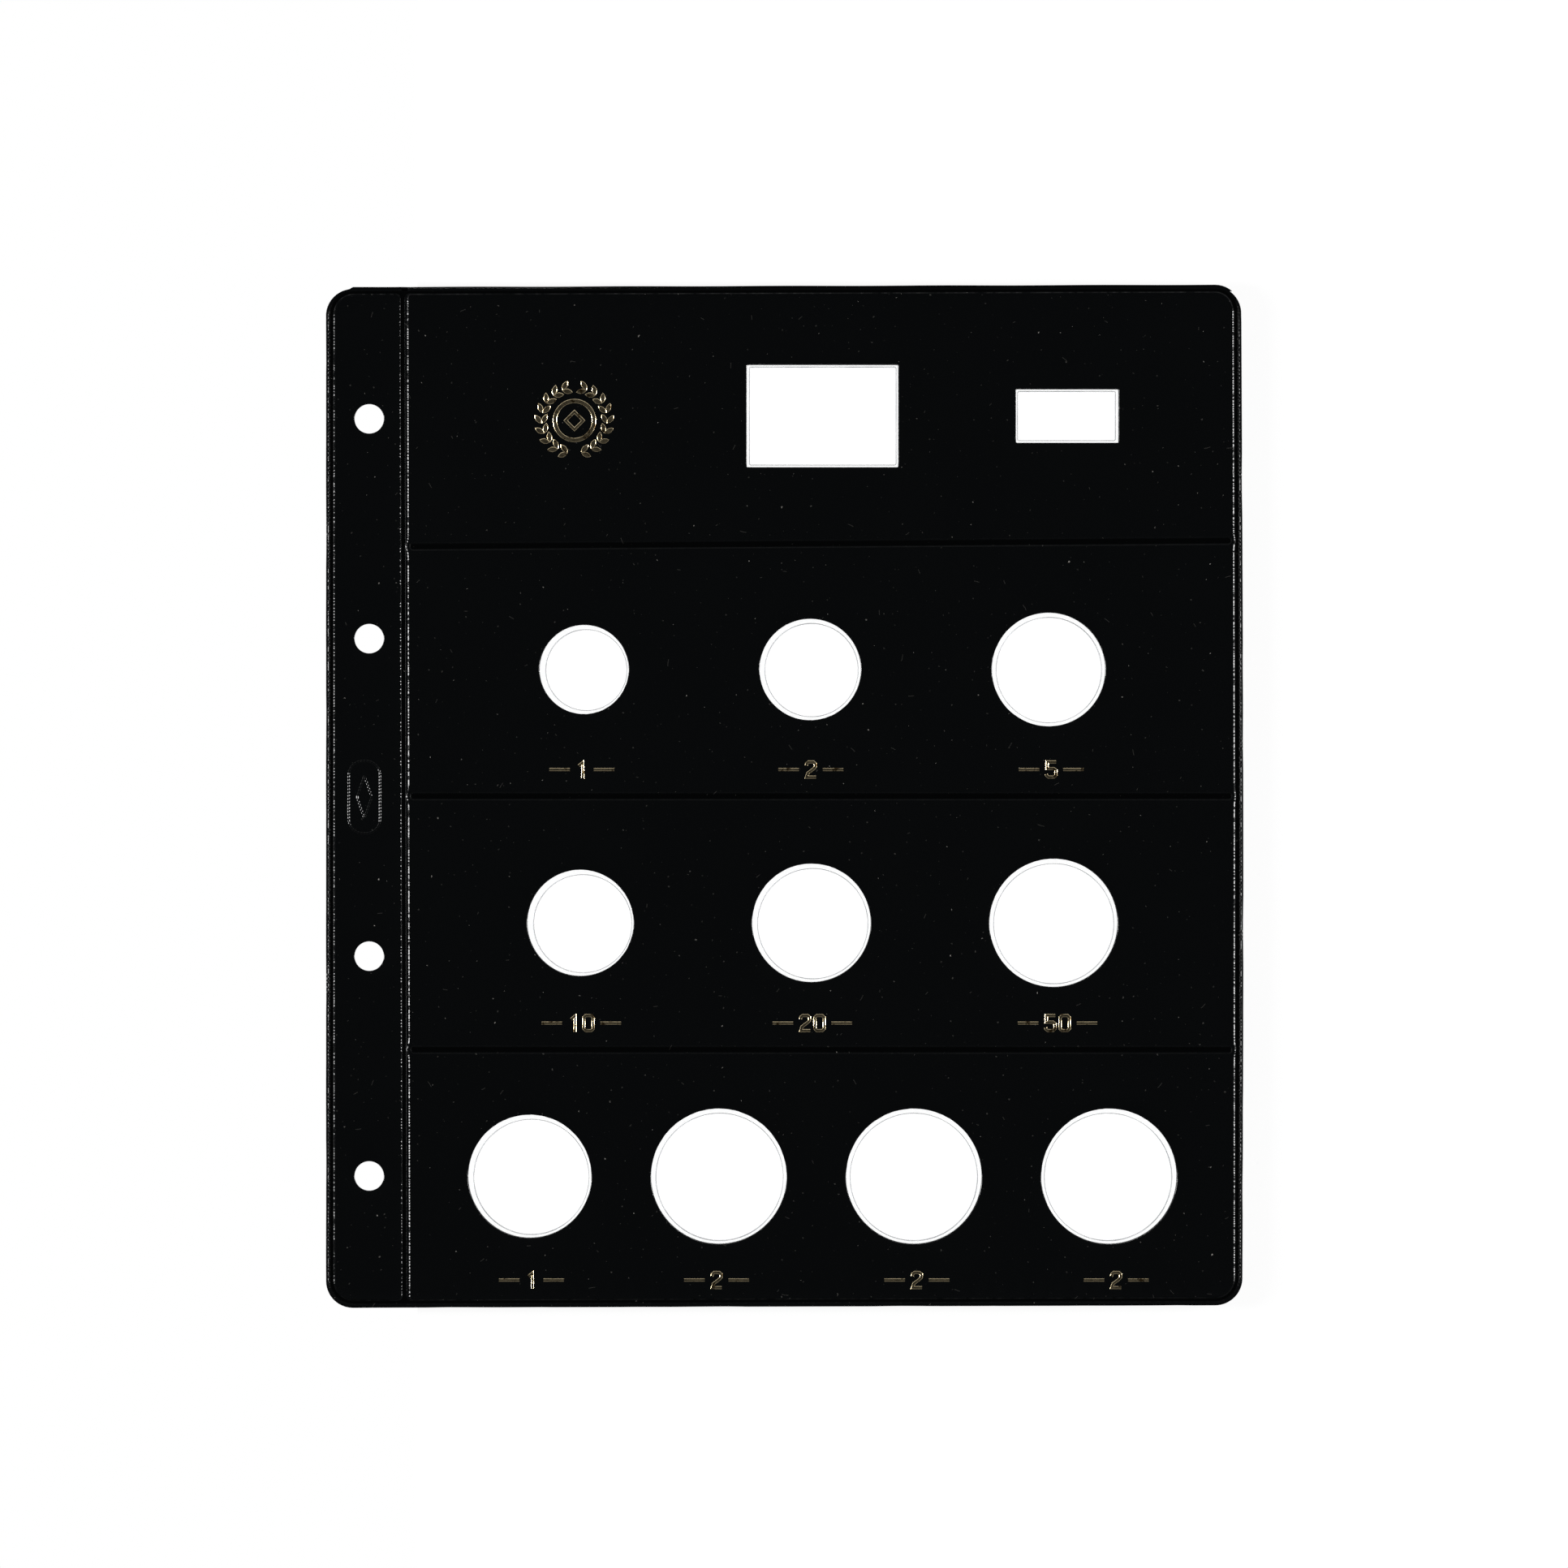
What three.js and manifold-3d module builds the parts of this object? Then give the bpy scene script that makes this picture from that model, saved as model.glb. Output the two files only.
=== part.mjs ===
// Ring-binder album page for one set of coins, in millimetres.
// Two black sheets are welded together round four pockets, and each pocket holds a clear pull-out strip.
// The page lies on its back: +X runs across it, +Y up it and +Z out of its front face.
// The origin is under the middle of the page, on the surface that it lies on.

import * as THREE from "three";
import { mergeVertices } from "three/addons/utils/BufferGeometryUtils.js";
import Module from "manifold-3d";

// Thickness of the plies, and the room left between them
const SHEET = 0.4;
const FILM = 0.2;
const STRIP = 2.2;
const PLY_GAP = 0.05;
const SLIDE_GAP = 0.15;

// Outline of the page
const BINDING_WIDTH = 16.1; // left edge to the middle of the fold
const PANEL_WIDTH = 171.4; // middle of the fold to the outer edge
const CORNER_RADIUS = 5.5;
const PAGE_HEIGHT = 209;
const EDGE_LIP = 0.7; // plain edge outside the rim weld

// Welds pressed into the front sheet
const WELD_DEPTH = 0.2;
const RIM_WELD = 0.8;
const ROW_WELD = 1.2;
const FOLD_WELD = 1.5;
const FOLD_SLIT = 0.4; // the two halves of the page meet here, at the middle of the fold
const BEAD_WIDTH = 0.5; // plastic squeezed up beside each weld
const BEAD_HEIGHT = 0.1;
const LAND_RADIUS = 0.8; // inner corners of the weld lines

// Ring holes in the binding margin
const RING_HOLE = 6.1;
const RING_EDGE = 8.75; // left edge to the hole centres
const RING_MIDDLE_PITCH = 65;
const RING_OUTER_PITCH = 45;

// Pockets formed in the back, measured on their lining
const POCKET_LAND = 2.2; // flat welded land between two pockets
const POCKET_END_LAND = 1.1; // flat land between the fold and the closed ends
const POCKET_RUN = 0.4; // how far a side wall leans outwards
const POCKET_RADIUS = 1.5;
const MOUTH_SETBACK = 2.4; // open ends to the outer edge of the page
const MOUTH_FINGER = 0.8; // what is left between two open ends
const THUMB_RADIUS = 9;
const FILM_INSET = 0.4; // edge of the films to the edge of the page

// Coin strips
const STRIP_SIDE_GAP = 0.3;
const STRIP_END_GAP = 0.3;
const STRIP_RADIUS = 2;

// What the cells hold, and how much wider the cells and the windows are
const COIN_CELL_ROOM = 0.5;
const COIN_WINDOW_ROOM = 2;
const INSERT_CELL_ROOM = 0.2;
const INSERT_WINDOW_ROOM = 1;
const INSERT_CELL_RADIUS = 0.8;
const coin = (diameter) => ({ coin: diameter, width: diameter + COIN_WINDOW_ROOM });
const insert = (width, height) => ({ insert: [width, height], width: width + INSERT_WINDOW_ROOM });
const emblem = (width) => ({ width });

// Coins of the set, from left to right in their rows; three of the last size share the lower row
const UPPER_COIN_LEFT = 16.25;
const UPPER_COIN_MIDDLE = 18.75;
const UPPER_COIN_RIGHT = 21.25;
const MIDDLE_COIN_LEFT = 19.75;
const MIDDLE_COIN_MIDDLE = 22.25;
const MIDDLE_COIN_RIGHT = 24.25;
const LOWER_COIN_LEFT = 23.25;
const LOWER_COIN = 25.75;

// Inserts of the top row, and the room that is kept free for the stamped emblem
const EMBLEM_WIDTH = 21;
const LARGE_INSERT_WIDTH = 30;
const LARGE_INSERT_HEIGHT = 20;
const SMALL_INSERT_WIDTH = 20;
const SMALL_INSERT_HEIGHT = 10;

// Rows from the top of the page down
const ROWS = [
  {
    strip: "insert_strip",
    places: [
      emblem(EMBLEM_WIDTH),
      insert(LARGE_INSERT_WIDTH, LARGE_INSERT_HEIGHT),
      insert(SMALL_INSERT_WIDTH, SMALL_INSERT_HEIGHT),
    ],
  },
  {
    strip: "coin_strip_upper",
    places: [coin(UPPER_COIN_LEFT), coin(UPPER_COIN_MIDDLE), coin(UPPER_COIN_RIGHT)],
  },
  {
    strip: "coin_strip_middle",
    places: [coin(MIDDLE_COIN_LEFT), coin(MIDDLE_COIN_MIDDLE), coin(MIDDLE_COIN_RIGHT)],
  },
  {
    strip: "coin_strip_lower",
    places: [coin(LOWER_COIN_LEFT), coin(LOWER_COIN), coin(LOWER_COIN), coin(LOWER_COIN)],
  },
];

// Roundness: sides of a window or cell, sides of a ring hole, and steps in each eighth of a turn at a corner
const WINDOW_SIDES = 40;
const RING_SIDES = 24;
const CORNER_STEPS = 2;

// Levels, from the surface that the page lies on upwards
const LINING_FLOOR = SHEET + PLY_GAP + FILM;
const STRIP_LOW = LINING_FLOOR + SLIDE_GAP;
const FRONT_FILM_LOW = STRIP_LOW + STRIP + SLIDE_GAP;
const LINING_FLANGE = FRONT_FILM_LOW - PLY_GAP;
const FRONT_LOW = FRONT_FILM_LOW + FILM + PLY_GAP;
const FRONT_TOP = FRONT_LOW + SHEET;
const WELD_TOP = FRONT_TOP - WELD_DEPTH;
const BACK_MARGIN_TOP = FRONT_LOW - PLY_GAP;

// Places across the page
const PAGE_WIDTH = BINDING_WIDTH + PANEL_WIDTH;
const LEFT = -PAGE_WIDTH / 2;
const RIGHT = PAGE_WIDTH / 2;
const FOLD_X = LEFT + BINDING_WIDTH;
const FOLD_RIGHT = FOLD_X + FOLD_WELD / 2;
const FOLD_LEFT = FOLD_X - FOLD_WELD / 2;
const MOUTH_X = RIGHT - MOUTH_SETBACK;

// Places up the page
const ROW_PITCH = (PAGE_HEIGHT - 2 * EDGE_LIP) / ROWS.length;
const TOP = PAGE_HEIGHT / 2;
const LAND_INSET = EDGE_LIP + RIM_WELD;
const rowMiddle = (row) => ((ROWS.length - 1) / 2 - row) * ROW_PITCH;

// Section of a pocket's lining, and how much a ply outside it grows for each millimetre outwards
const LINING_TOP_HALF = (ROW_PITCH - POCKET_LAND) / 2;
const LINING_FLOOR_HALF = LINING_TOP_HALF - POCKET_RUN;
const LINING_FLOOR_LEFT = FOLD_RIGHT + POCKET_END_LAND + POCKET_RUN;
const POCKET_DEPTH = LINING_FLANGE - LINING_FLOOR;
const GROWTH = Math.tan(Math.atan2(POCKET_DEPTH, POCKET_RUN) / 2);
const SHEET_OFFSET = FILM + PLY_GAP;
const MOUTH_HALF = (ROW_PITCH - MOUTH_FINGER) / 2;

// The strip fills the lining of its pocket
const STRIP_HALF = LINING_FLOOR_HALF - STRIP_SIDE_GAP;
const STRIP_LEFT = LINING_FLOOR_LEFT + STRIP_END_GAP;
const STRIP_RIGHT = MOUTH_X - STRIP_END_GAP;

const CLEARANCE = 1; // how far a cutting tool stands out of what it cuts
const MERGE_DISTANCE = 1e-4;

const wasm = await Module();
wasm.setup();

// Shapes

/** A closed rectangle whose corners are rounded: [low left, low right, high right, high left]. */
function roundedRectangle(left, low, right, high, radii) {
  const corners = [
    [left, low, 1, 1],
    [right, low, -1, 1],
    [right, high, -1, -1],
    [left, high, 1, -1],
  ];
  const shape = new THREE.Shape();
  corners.forEach(([x, y, inX, inY], turn) => {
    const radius = radii[turn];
    const start = Math.PI + (turn * Math.PI) / 2;
    if (radius > 0) shape.absarc(x + inX * radius, y + inY * radius, radius, start, start + Math.PI / 2);
    else if (turn === 0) shape.moveTo(x, y);
    else shape.lineTo(x, y);
  });
  shape.closePath();
  return shape;
}

/** The page's outline drawn in by an inset. */
function pageOutline(inset) {
  const radius = CORNER_RADIUS - inset;
  const corners = [radius, radius, radius, radius];
  return roundedRectangle(LEFT + inset, -TOP + inset, RIGHT - inset, TOP - inset, corners);
}

function circle(x, y, diameter, sides) {
  const radius = diameter / 2;
  const round = new THREE.EllipseCurve(x, y, radius, radius, 0, 2 * Math.PI);
  return new THREE.Shape(round.getPoints(sides).slice(0, -1));
}

function rectangle(x, y, width, height, radius) {
  const [halfWidth, halfHeight] = [width / 2, height / 2];
  const corners = [radius, radius, radius, radius];
  return roundedRectangle(x - halfWidth, y - halfHeight, x + halfWidth, y + halfHeight, corners);
}

// Solids

function solidOf(geometry) {
  const bare = new THREE.BufferGeometry();
  bare.setAttribute("position", geometry.getAttribute("position"));
  bare.setIndex(geometry.getIndex());
  const merged = mergeVertices(bare, MERGE_DISTANCE);
  const shape = {
    numProp: 3,
    vertProperties: merged.getAttribute("position").array,
    triVerts: new Uint32Array(merged.getIndex().array),
  };
  return new wasm.Manifold(new wasm.Mesh(shape));
}

/** A flat outline raised from one level to another. */
function plate(shape, low, high) {
  const options = { depth: high - low, bevelEnabled: false, curveSegments: CORNER_STEPS };
  return solidOf(new THREE.ExtrudeGeometry(shape, options).translate(0, 0, low));
}

function box(left, right, low, high, bottom, top) {
  const geometry = new THREE.BoxGeometry(right - left, high - low, top - bottom);
  return solidOf(geometry.translate((left + right) / 2, (low + high) / 2, (bottom + top) / 2));
}

/** The part of the page's space between two places across it. */
function stretch(from, to) {
  return box(from, to, -TOP - CLEARANCE, TOP + CLEARANCE, -CLEARANCE, FRONT_TOP + CLEARANCE);
}

const joined = (solids) => solids.reduce((sum, solid) => sum.add(solid));

// Windows and cells

/** The middle of each place of a row, with equal gaps between the fold, the windows and the rim weld. */
function setOut(row) {
  const places = ROWS[row].places;
  const end = RIGHT - EDGE_LIP - RIM_WELD / 2;
  const filled = places.reduce((sum, place) => sum + place.width, 0);
  const gap = (end - FOLD_RIGHT - filled) / (places.length + 1);
  let x = FOLD_RIGHT;
  return places.map((place) => {
    x += gap + place.width;
    return { ...place, x: x - place.width / 2 };
  });
}

/** Outlines of a row's openings at height y, for coins and inserts with the given room around them. */
function openings(row, y, coinRoom, insertRoom, insertRadius) {
  const coins = setOut(row).filter((place) => place.coin);
  const inserts = setOut(row).filter((place) => place.insert);
  return [
    ...coins.map(({ x, coin }) => circle(x, y, coin + coinRoom, WINDOW_SIDES)),
    ...inserts.map(({ x, insert: [width, height] }) =>
      rectangle(x, y, width + insertRoom, height + insertRoom, insertRadius),
    ),
  ];
}

/** Cutters for the windows of one sheet, between two levels. */
function windowCutters(low, high) {
  const shapes = ROWS.flatMap((_, row) =>
    openings(row, rowMiddle(row), COIN_WINDOW_ROOM, INSERT_WINDOW_ROOM, 0),
  );
  return joined(shapes.map((shape) => plate(shape, low, high)));
}

function ringCutters(low, high) {
  const inner = RING_MIDDLE_PITCH / 2;
  const outer = inner + RING_OUTER_PITCH;
  const x = LEFT + RING_EDGE;
  const holes = [-outer, -inner, inner, outer].map((y) => circle(x, y, RING_HOLE, RING_SIDES));
  return joined(holes.map((hole) => plate(hole, low, high)));
}

// Front sheet: thin along the welds, full thickness on the lands between them

/** Outline of the land of one row, drawn in by an inset. The outer rows follow the page's corners. */
function rowLand(row, inset) {
  const small = LAND_RADIUS - inset;
  const large = CORNER_RADIUS - LAND_INSET - inset;
  const first = row === 0;
  const last = row === ROWS.length - 1;
  const half = (ROW_PITCH - ROW_WELD) / 2 - inset;
  const low = last ? -TOP + LAND_INSET + inset : rowMiddle(row) - half;
  const high = first ? TOP - LAND_INSET - inset : rowMiddle(row) + half;
  const corners = [small, last ? large : small, first ? large : small, small];
  return roundedRectangle(FOLD_RIGHT + inset, low, RIGHT - LAND_INSET - inset, high, corners);
}

function marginLand(inset) {
  const small = LAND_RADIUS - inset;
  const large = CORNER_RADIUS - LAND_INSET - inset;
  const reach = TOP - LAND_INSET - inset;
  const corners = [large, small, small, large];
  return roundedRectangle(LEFT + LAND_INSET + inset, -reach, FOLD_LEFT - inset, reach, corners);
}

/** A land at full thickness, with the bead that the weld squeezed up along its edge. */
function beadedLand(land) {
  const bead = land(0);
  bead.holes.push(land(BEAD_WIDTH));
  return plate(land(0), FRONT_LOW, FRONT_TOP).add(plate(bead, FRONT_LOW, FRONT_TOP + BEAD_HEIGHT));
}

/** The plain edge of the page, which the fold line crosses so that the page can bend there. */
function edgeLip() {
  const lip = pageOutline(0);
  lip.holes.push(pageOutline(EDGE_LIP));
  const reach = TOP + CLEARANCE;
  const foldLine = box(FOLD_LEFT, FOLD_RIGHT, -reach, reach, WELD_TOP, FRONT_TOP + CLEARANCE);
  return plate(lip, FRONT_LOW, FRONT_TOP).subtract(foldLine);
}

function frontSheet() {
  const lands = ROWS.map((_, row) => beadedLand((inset) => rowLand(row, inset)));
  const whole = joined([
    plate(pageOutline(0), FRONT_LOW, WELD_TOP),
    edgeLip(),
    beadedLand(marginLand),
    ...lands,
  ]);
  const [under, over] = [FRONT_LOW - CLEARANCE, FRONT_TOP + CLEARANCE];
  return whole.subtract(windowCutters(under, over)).subtract(ringCutters(under, over));
}

// Back sheet and back film: a flat flange with four pockets formed into it

/** One pocket as a block with leaning walls, as far outside the lining as offset says. */
function pocketBlock(row, offset) {
  const half = LINING_FLOOR_HALF + offset * GROWTH;
  const radius = POCKET_RADIUS + offset * GROWTH;
  const left = LINING_FLOOR_LEFT - offset * GROWTH;
  const middle = rowMiddle(row);
  const corners = [radius, radius, radius, radius];
  const floor = roundedRectangle(left, middle - half, RIGHT + THUMB_RADIUS, middle + half, corners);
  const walls = {
    depth: CLEARANCE,
    bevelThickness: POCKET_DEPTH,
    bevelSize: POCKET_RUN,
    bevelSegments: 1,
    curveSegments: CORNER_STEPS,
  };
  const geometry = new THREE.ExtrudeGeometry(floor, walls);
  return solidOf(geometry.translate(0, 0, LINING_FLOOR - offset + POCKET_DEPTH));
}

/** What the open ends and their thumb notches take out of one pocket. */
function mouthCutter(row) {
  const middle = rowMiddle(row);
  const top = LINING_FLANGE + CLEARANCE;
  const end = box(MOUTH_X, RIGHT + CLEARANCE, middle - MOUTH_HALF, middle + MOUTH_HALF, -CLEARANCE, top);
  const notch = circle(MOUTH_X, middle, 2 * THUMB_RADIUS, WINDOW_SIDES);
  return end.add(plate(notch, -CLEARANCE, LINING_FLOOR + CLEARANCE));
}

/** A formed ply whose inner face lies outside the lining by offset. */
function formedPly(offset, thickness, edgeInset) {
  const outside = offset + thickness;
  const [flangeLow, flangeTop] = [LINING_FLANGE - outside, LINING_FLANGE - offset];
  const below = box(LEFT, RIGHT, -TOP, TOP, -CLEARANCE, flangeTop);
  const outer = joined(ROWS.map((_, row) => pocketBlock(row, outside))).intersect(below);
  const inner = joined(ROWS.map((_, row) => pocketBlock(row, offset)));
  const mouths = joined(ROWS.map((_, row) => mouthCutter(row)));
  return plate(pageOutline(edgeInset), flangeLow, flangeTop)
    .add(outer)
    .subtract(inner)
    .subtract(mouths)
    .intersect(stretch(FOLD_RIGHT + PLY_GAP, RIGHT + CLEARANCE));
}

function backPanel() {
  const sheet = formedPly(SHEET_OFFSET, SHEET, 0);
  return sheet.subtract(windowCutters(-CLEARANCE, LINING_FLOOR));
}

function backMargin() {
  const low = BACK_MARGIN_TOP - SHEET;
  const sheet = plate(pageOutline(0), low, BACK_MARGIN_TOP);
  const holes = ringCutters(low - CLEARANCE, BACK_MARGIN_TOP + CLEARANCE);
  return sheet.intersect(stretch(LEFT - CLEARANCE, FOLD_LEFT)).subtract(holes);
}

function frontFilm() {
  const film = plate(pageOutline(FILM_INSET), FRONT_FILM_LOW, FRONT_FILM_LOW + FILM);
  return film.intersect(stretch(FOLD_RIGHT + PLY_GAP, RIGHT + CLEARANCE));
}

// Coin strip: a clear bar with a cell for each coin or insert, modelled about the middle of its row

function coinStrip(row) {
  const corners = [STRIP_RADIUS, STRIP_RADIUS, STRIP_RADIUS, STRIP_RADIUS];
  const bar = roundedRectangle(STRIP_LEFT, -STRIP_HALF, STRIP_RIGHT, STRIP_HALF, corners);
  const cells = openings(row, 0, COIN_CELL_ROOM, INSERT_CELL_ROOM, INSERT_CELL_RADIUS);
  const cutters = cells.map((cell) => plate(cell, -CLEARANCE, STRIP + CLEARANCE));
  return plate(bar, 0, STRIP).subtract(joined(cutters));
}

// Materials

const blackVinyl = (name) =>
  new THREE.MeshStandardMaterial({ name, color: 0x0c0d0e, roughness: 0.45, metalness: 0 });

const clearPlastic = (name, opacity) =>
  new THREE.MeshStandardMaterial({
    name,
    color: 0xf4f7f8,
    roughness: 0.08,
    metalness: 0,
    transparent: true,
    opacity,
  });

const FILM_OPACITY = 0.12;
const STRIP_OPACITY = 0.2;

// Assembly

function namedMesh(name, solid, material) {
  const { vertProperties, triVerts } = solid.getMesh();
  const geometry = new THREE.BufferGeometry();
  geometry.setAttribute("position", new THREE.BufferAttribute(vertProperties, 3));
  geometry.setIndex(new THREE.BufferAttribute(triVerts, 1));
  geometry.computeVertexNormals();
  const mesh = new THREE.Mesh(geometry, material);
  mesh.name = name;
  return mesh;
}

function bindingMargin(sheet) {
  const front = sheet.intersect(stretch(LEFT - CLEARANCE, FOLD_X - FOLD_SLIT / 2));
  const margin = new THREE.Group();
  margin.add(namedMesh("front_margin", front, blackVinyl("front_margin")));
  margin.add(namedMesh("back_margin", backMargin(), blackVinyl("back_margin")));
  return margin;
}

function pocketPanel(sheet) {
  const front = sheet.intersect(stretch(FOLD_X + FOLD_SLIT / 2, RIGHT + CLEARANCE));
  const backFilm = formedPly(0, FILM, FILM_INSET);
  const panel = new THREE.Group();
  panel.add(namedMesh("front_panel", front, blackVinyl("front_panel")));
  panel.add(namedMesh("front_film", frontFilm(), clearPlastic("front_film", FILM_OPACITY)));
  panel.add(namedMesh("back_film", backFilm, clearPlastic("back_film", FILM_OPACITY)));
  panel.add(namedMesh("back_panel", backPanel(), blackVinyl("back_panel")));
  return panel;
}

function coinStrips() {
  const strips = new THREE.Group();
  ROWS.forEach(({ strip }, row) => {
    const mesh = namedMesh(strip, coinStrip(row), clearPlastic(strip, STRIP_OPACITY));
    mesh.position.set(0, rowMiddle(row), STRIP_LOW);
    strips.add(mesh);
  });
  return strips;
}

function albumPage() {
  const sheet = frontSheet();
  const page = new THREE.Group();
  page.name = "album_page";
  page.add(bindingMargin(sheet), pocketPanel(sheet), coinStrips());
  return page;
}

export default albumPage();
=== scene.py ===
"""Looks of a welded album page for one set of coins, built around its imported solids."""
import logging
import math
import random
from collections.abc import Callable, Iterable, Sequence
from dataclasses import dataclass, field, replace
from enum import Enum
from functools import cache

import bmesh
import bpy
import numpy as np
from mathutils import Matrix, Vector
from mathutils.geometry import delaunay_2d_cdt


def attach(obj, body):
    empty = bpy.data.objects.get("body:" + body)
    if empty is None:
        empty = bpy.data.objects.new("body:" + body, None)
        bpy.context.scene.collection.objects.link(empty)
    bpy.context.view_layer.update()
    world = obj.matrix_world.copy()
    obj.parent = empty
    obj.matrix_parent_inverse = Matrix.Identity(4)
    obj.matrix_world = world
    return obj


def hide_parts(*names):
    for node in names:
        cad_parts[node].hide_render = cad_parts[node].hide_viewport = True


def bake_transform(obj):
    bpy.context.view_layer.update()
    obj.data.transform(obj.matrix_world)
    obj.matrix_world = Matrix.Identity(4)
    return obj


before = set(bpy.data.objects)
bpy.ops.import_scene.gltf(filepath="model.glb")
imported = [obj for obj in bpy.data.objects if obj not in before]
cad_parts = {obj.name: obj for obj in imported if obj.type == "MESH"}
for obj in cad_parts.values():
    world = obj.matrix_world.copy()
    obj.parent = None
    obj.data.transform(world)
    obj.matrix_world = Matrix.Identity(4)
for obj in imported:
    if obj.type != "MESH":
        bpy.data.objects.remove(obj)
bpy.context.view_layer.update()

LOG = logging.getLogger("album_page")
MM = 0.001
MERGE = 1e-6
SLIVER = 5e-5
TOUCH = 1e-5
STAGGER = 0.25
FULL_TURN = 2 * math.pi

Point = tuple[float, float]
Place = tuple[float, float, float]
Sides = tuple[float, float, float, float]
Mark = tuple[float, float, float, float]
Height = Callable[[float, float], float]
WHITE = (1.0, 1.0, 1.0, 1.0)


class Body(Enum):
    """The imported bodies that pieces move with."""

    PANEL = "pocket_panel"
    MARGIN = "binding_margin"


class Slot(Enum):
    """Names of the record's finishes; no piece here is given one."""

    VINYL = "black_vinyl"
    STRIP = "clear_strip"


class Row(Enum):
    """The rows of the page from the top down, each with the name of its strip."""

    INSERTS = "insert_strip"
    UPPER = "coin_strip_upper"
    MIDDLE = "coin_strip_middle"
    LOWER = "coin_strip_lower"

    @property
    def number(self) -> int:
        """How many rows lie above this one."""
        return list(Row).index(self)


# Outlines


@dataclass(frozen=True)
class Station:
    """A point of a closed outline, the way out of the outline there, and its distance along the outline."""

    x: float
    y: float
    out_x: float
    out_y: float
    run: float

    def moved(self, out: float) -> Point:
        """The point that lies this far outside the station."""
        return (self.x + self.out_x * out, self.y + self.out_y * out)


def with_runs(marks: Sequence[Mark]) -> list[Station]:
    """Adds the distance along the outline to a list of points and ways out.

    Args:
        marks: x, y and the way out of the outline at each point.

    Returns:
        The stations in the same order.
    """
    stations: list[Station] = []
    run = 0.0
    for index, (x, y, out_x, out_y) in enumerate(marks):
        if index:
            before = marks[index - 1]
            run += math.hypot(x - before[0], y - before[1])
        stations.append(Station(x, y, out_x, out_y, run))
    return stations


def box(x: float, y: float, half_width: float, half_height: float) -> Sides:
    """Left, low, right and high side of a rectangle round its middle."""
    return (x - half_width, y - half_height, x + half_width, y + half_height)


def rounded_outline(
    sides: Sides, radii: Sequence[float], spacing: float, upright: float | None = None
) -> list[Station]:
    """Sets out a rectangle with rounded corners, anticlockwise from its low left corner.

    Args:
        sides: Left, low, right and high side in millimetres.
        radii: Corner radii from the low left corner round.
        spacing: Longest step along the outline.
        upright: Longest step along the upright sides, if that is another one.

    Returns:
        The stations of the closed outline.
    """
    left, low, right, high = sides
    corners = ((left, low, 1, 1), (right, low, -1, 1), (right, high, -1, -1), (left, high, 1, -1))
    marks: list[Mark] = []
    for turn, (x, y, in_x, in_y) in enumerate(corners):
        radius = radii[turn]
        start = math.pi + turn * math.pi / 2
        steps = max(3, math.ceil(radius * math.pi / 2 / spacing))
        for step in range(steps + 1):
            angle = start + math.pi / 2 * step / steps
            out = (math.cos(angle), math.sin(angle))
            marks.append((x + radius * (in_x + out[0]), y + radius * (in_y + out[1]), *out))
        next_x, next_y, next_in_x, next_in_y = corners[(turn + 1) % 4]
        next_radius = radii[(turn + 1) % 4]
        side = math.pi * (turn - 1) / 2
        along = (-math.sin(side), math.cos(side))
        end_x = next_x + next_radius * (next_in_x + math.cos(side))
        end_y = next_y + next_radius * (next_in_y + math.sin(side))
        from_x, from_y = marks[-1][:2]
        length = (end_x - from_x) * along[0] + (end_y - from_y) * along[1]
        count = math.ceil(length / (upright if upright and turn % 2 else spacing))
        for step in range(1, count):
            share = length * step / count
            spot = (from_x + along[0] * share, from_y + along[1] * share)
            marks.append((*spot, math.cos(side), math.sin(side)))
    return with_runs(marks)


def round_outline(x: float, y: float, radius: float, steps: int) -> list[Station]:
    """Sets out a circle, anticlockwise.

    Args:
        x: Middle across the page.
        y: Middle up the page.
        radius: Radius in millimetres.
        steps: Number of stations.

    Returns:
        The stations of the circle.
    """
    marks = []
    for step in range(steps):
        out = (math.cos(FULL_TURN * step / steps), math.sin(FULL_TURN * step / steps))
        marks.append((x + radius * out[0], y + radius * out[1], *out))
    return with_runs(marks)


@dataclass(frozen=True)
class Opening:
    """A window, a cell or a ring hole, by its middle and half sizes in millimetres."""

    x: float
    y: float
    half_width: float
    half_height: float
    round: bool
    corner: float = 0.2
    steps: int = 128
    ragged: bool = False
    spacing: float = 0.7

    def outline(self) -> list[Station]:
        """Stations round the opening, with ways out that lead into the sheet.

        Returns:
            The stations of the closed outline.
        """
        if self.round:
            return round_outline(self.x, self.y, self.half_width, self.steps)
        sides = box(self.x, self.y, self.half_width, self.half_height)
        return rounded_outline(sides, [self.corner] * 4, self.spacing)

    def near(self, x: float, y: float, room: float) -> bool:
        """Whether a point lies in the opening or within the given room of it.

        Args:
            x: Place across the page.
            y: Place up the page.
            room: Room to keep outside the opening.

        Returns:
            True if the point is that near.
        """
        if self.round:
            return math.hypot(x - self.x, y - self.y) < self.half_width + room
        return abs(x - self.x) < self.half_width + room and abs(y - self.y) < self.half_height + room


def smooth_step(low: float, high: float, value: float) -> float:
    """Eases from 0 at low to 1 at high."""
    share = min(1.0, max(0.0, (value - low) / (high - low)))
    return share * share * (3 - 2 * share)


# The plan of the page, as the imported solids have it


@dataclass(frozen=True)
class RowWeld:
    """The line of one row weld: its height up the page and its slant."""

    height: float
    slant: float = 0.0

    def __call__(self, x: float) -> float:
        """Height of the weld at a place across the page."""
        return self.height + self.slant * x


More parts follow.
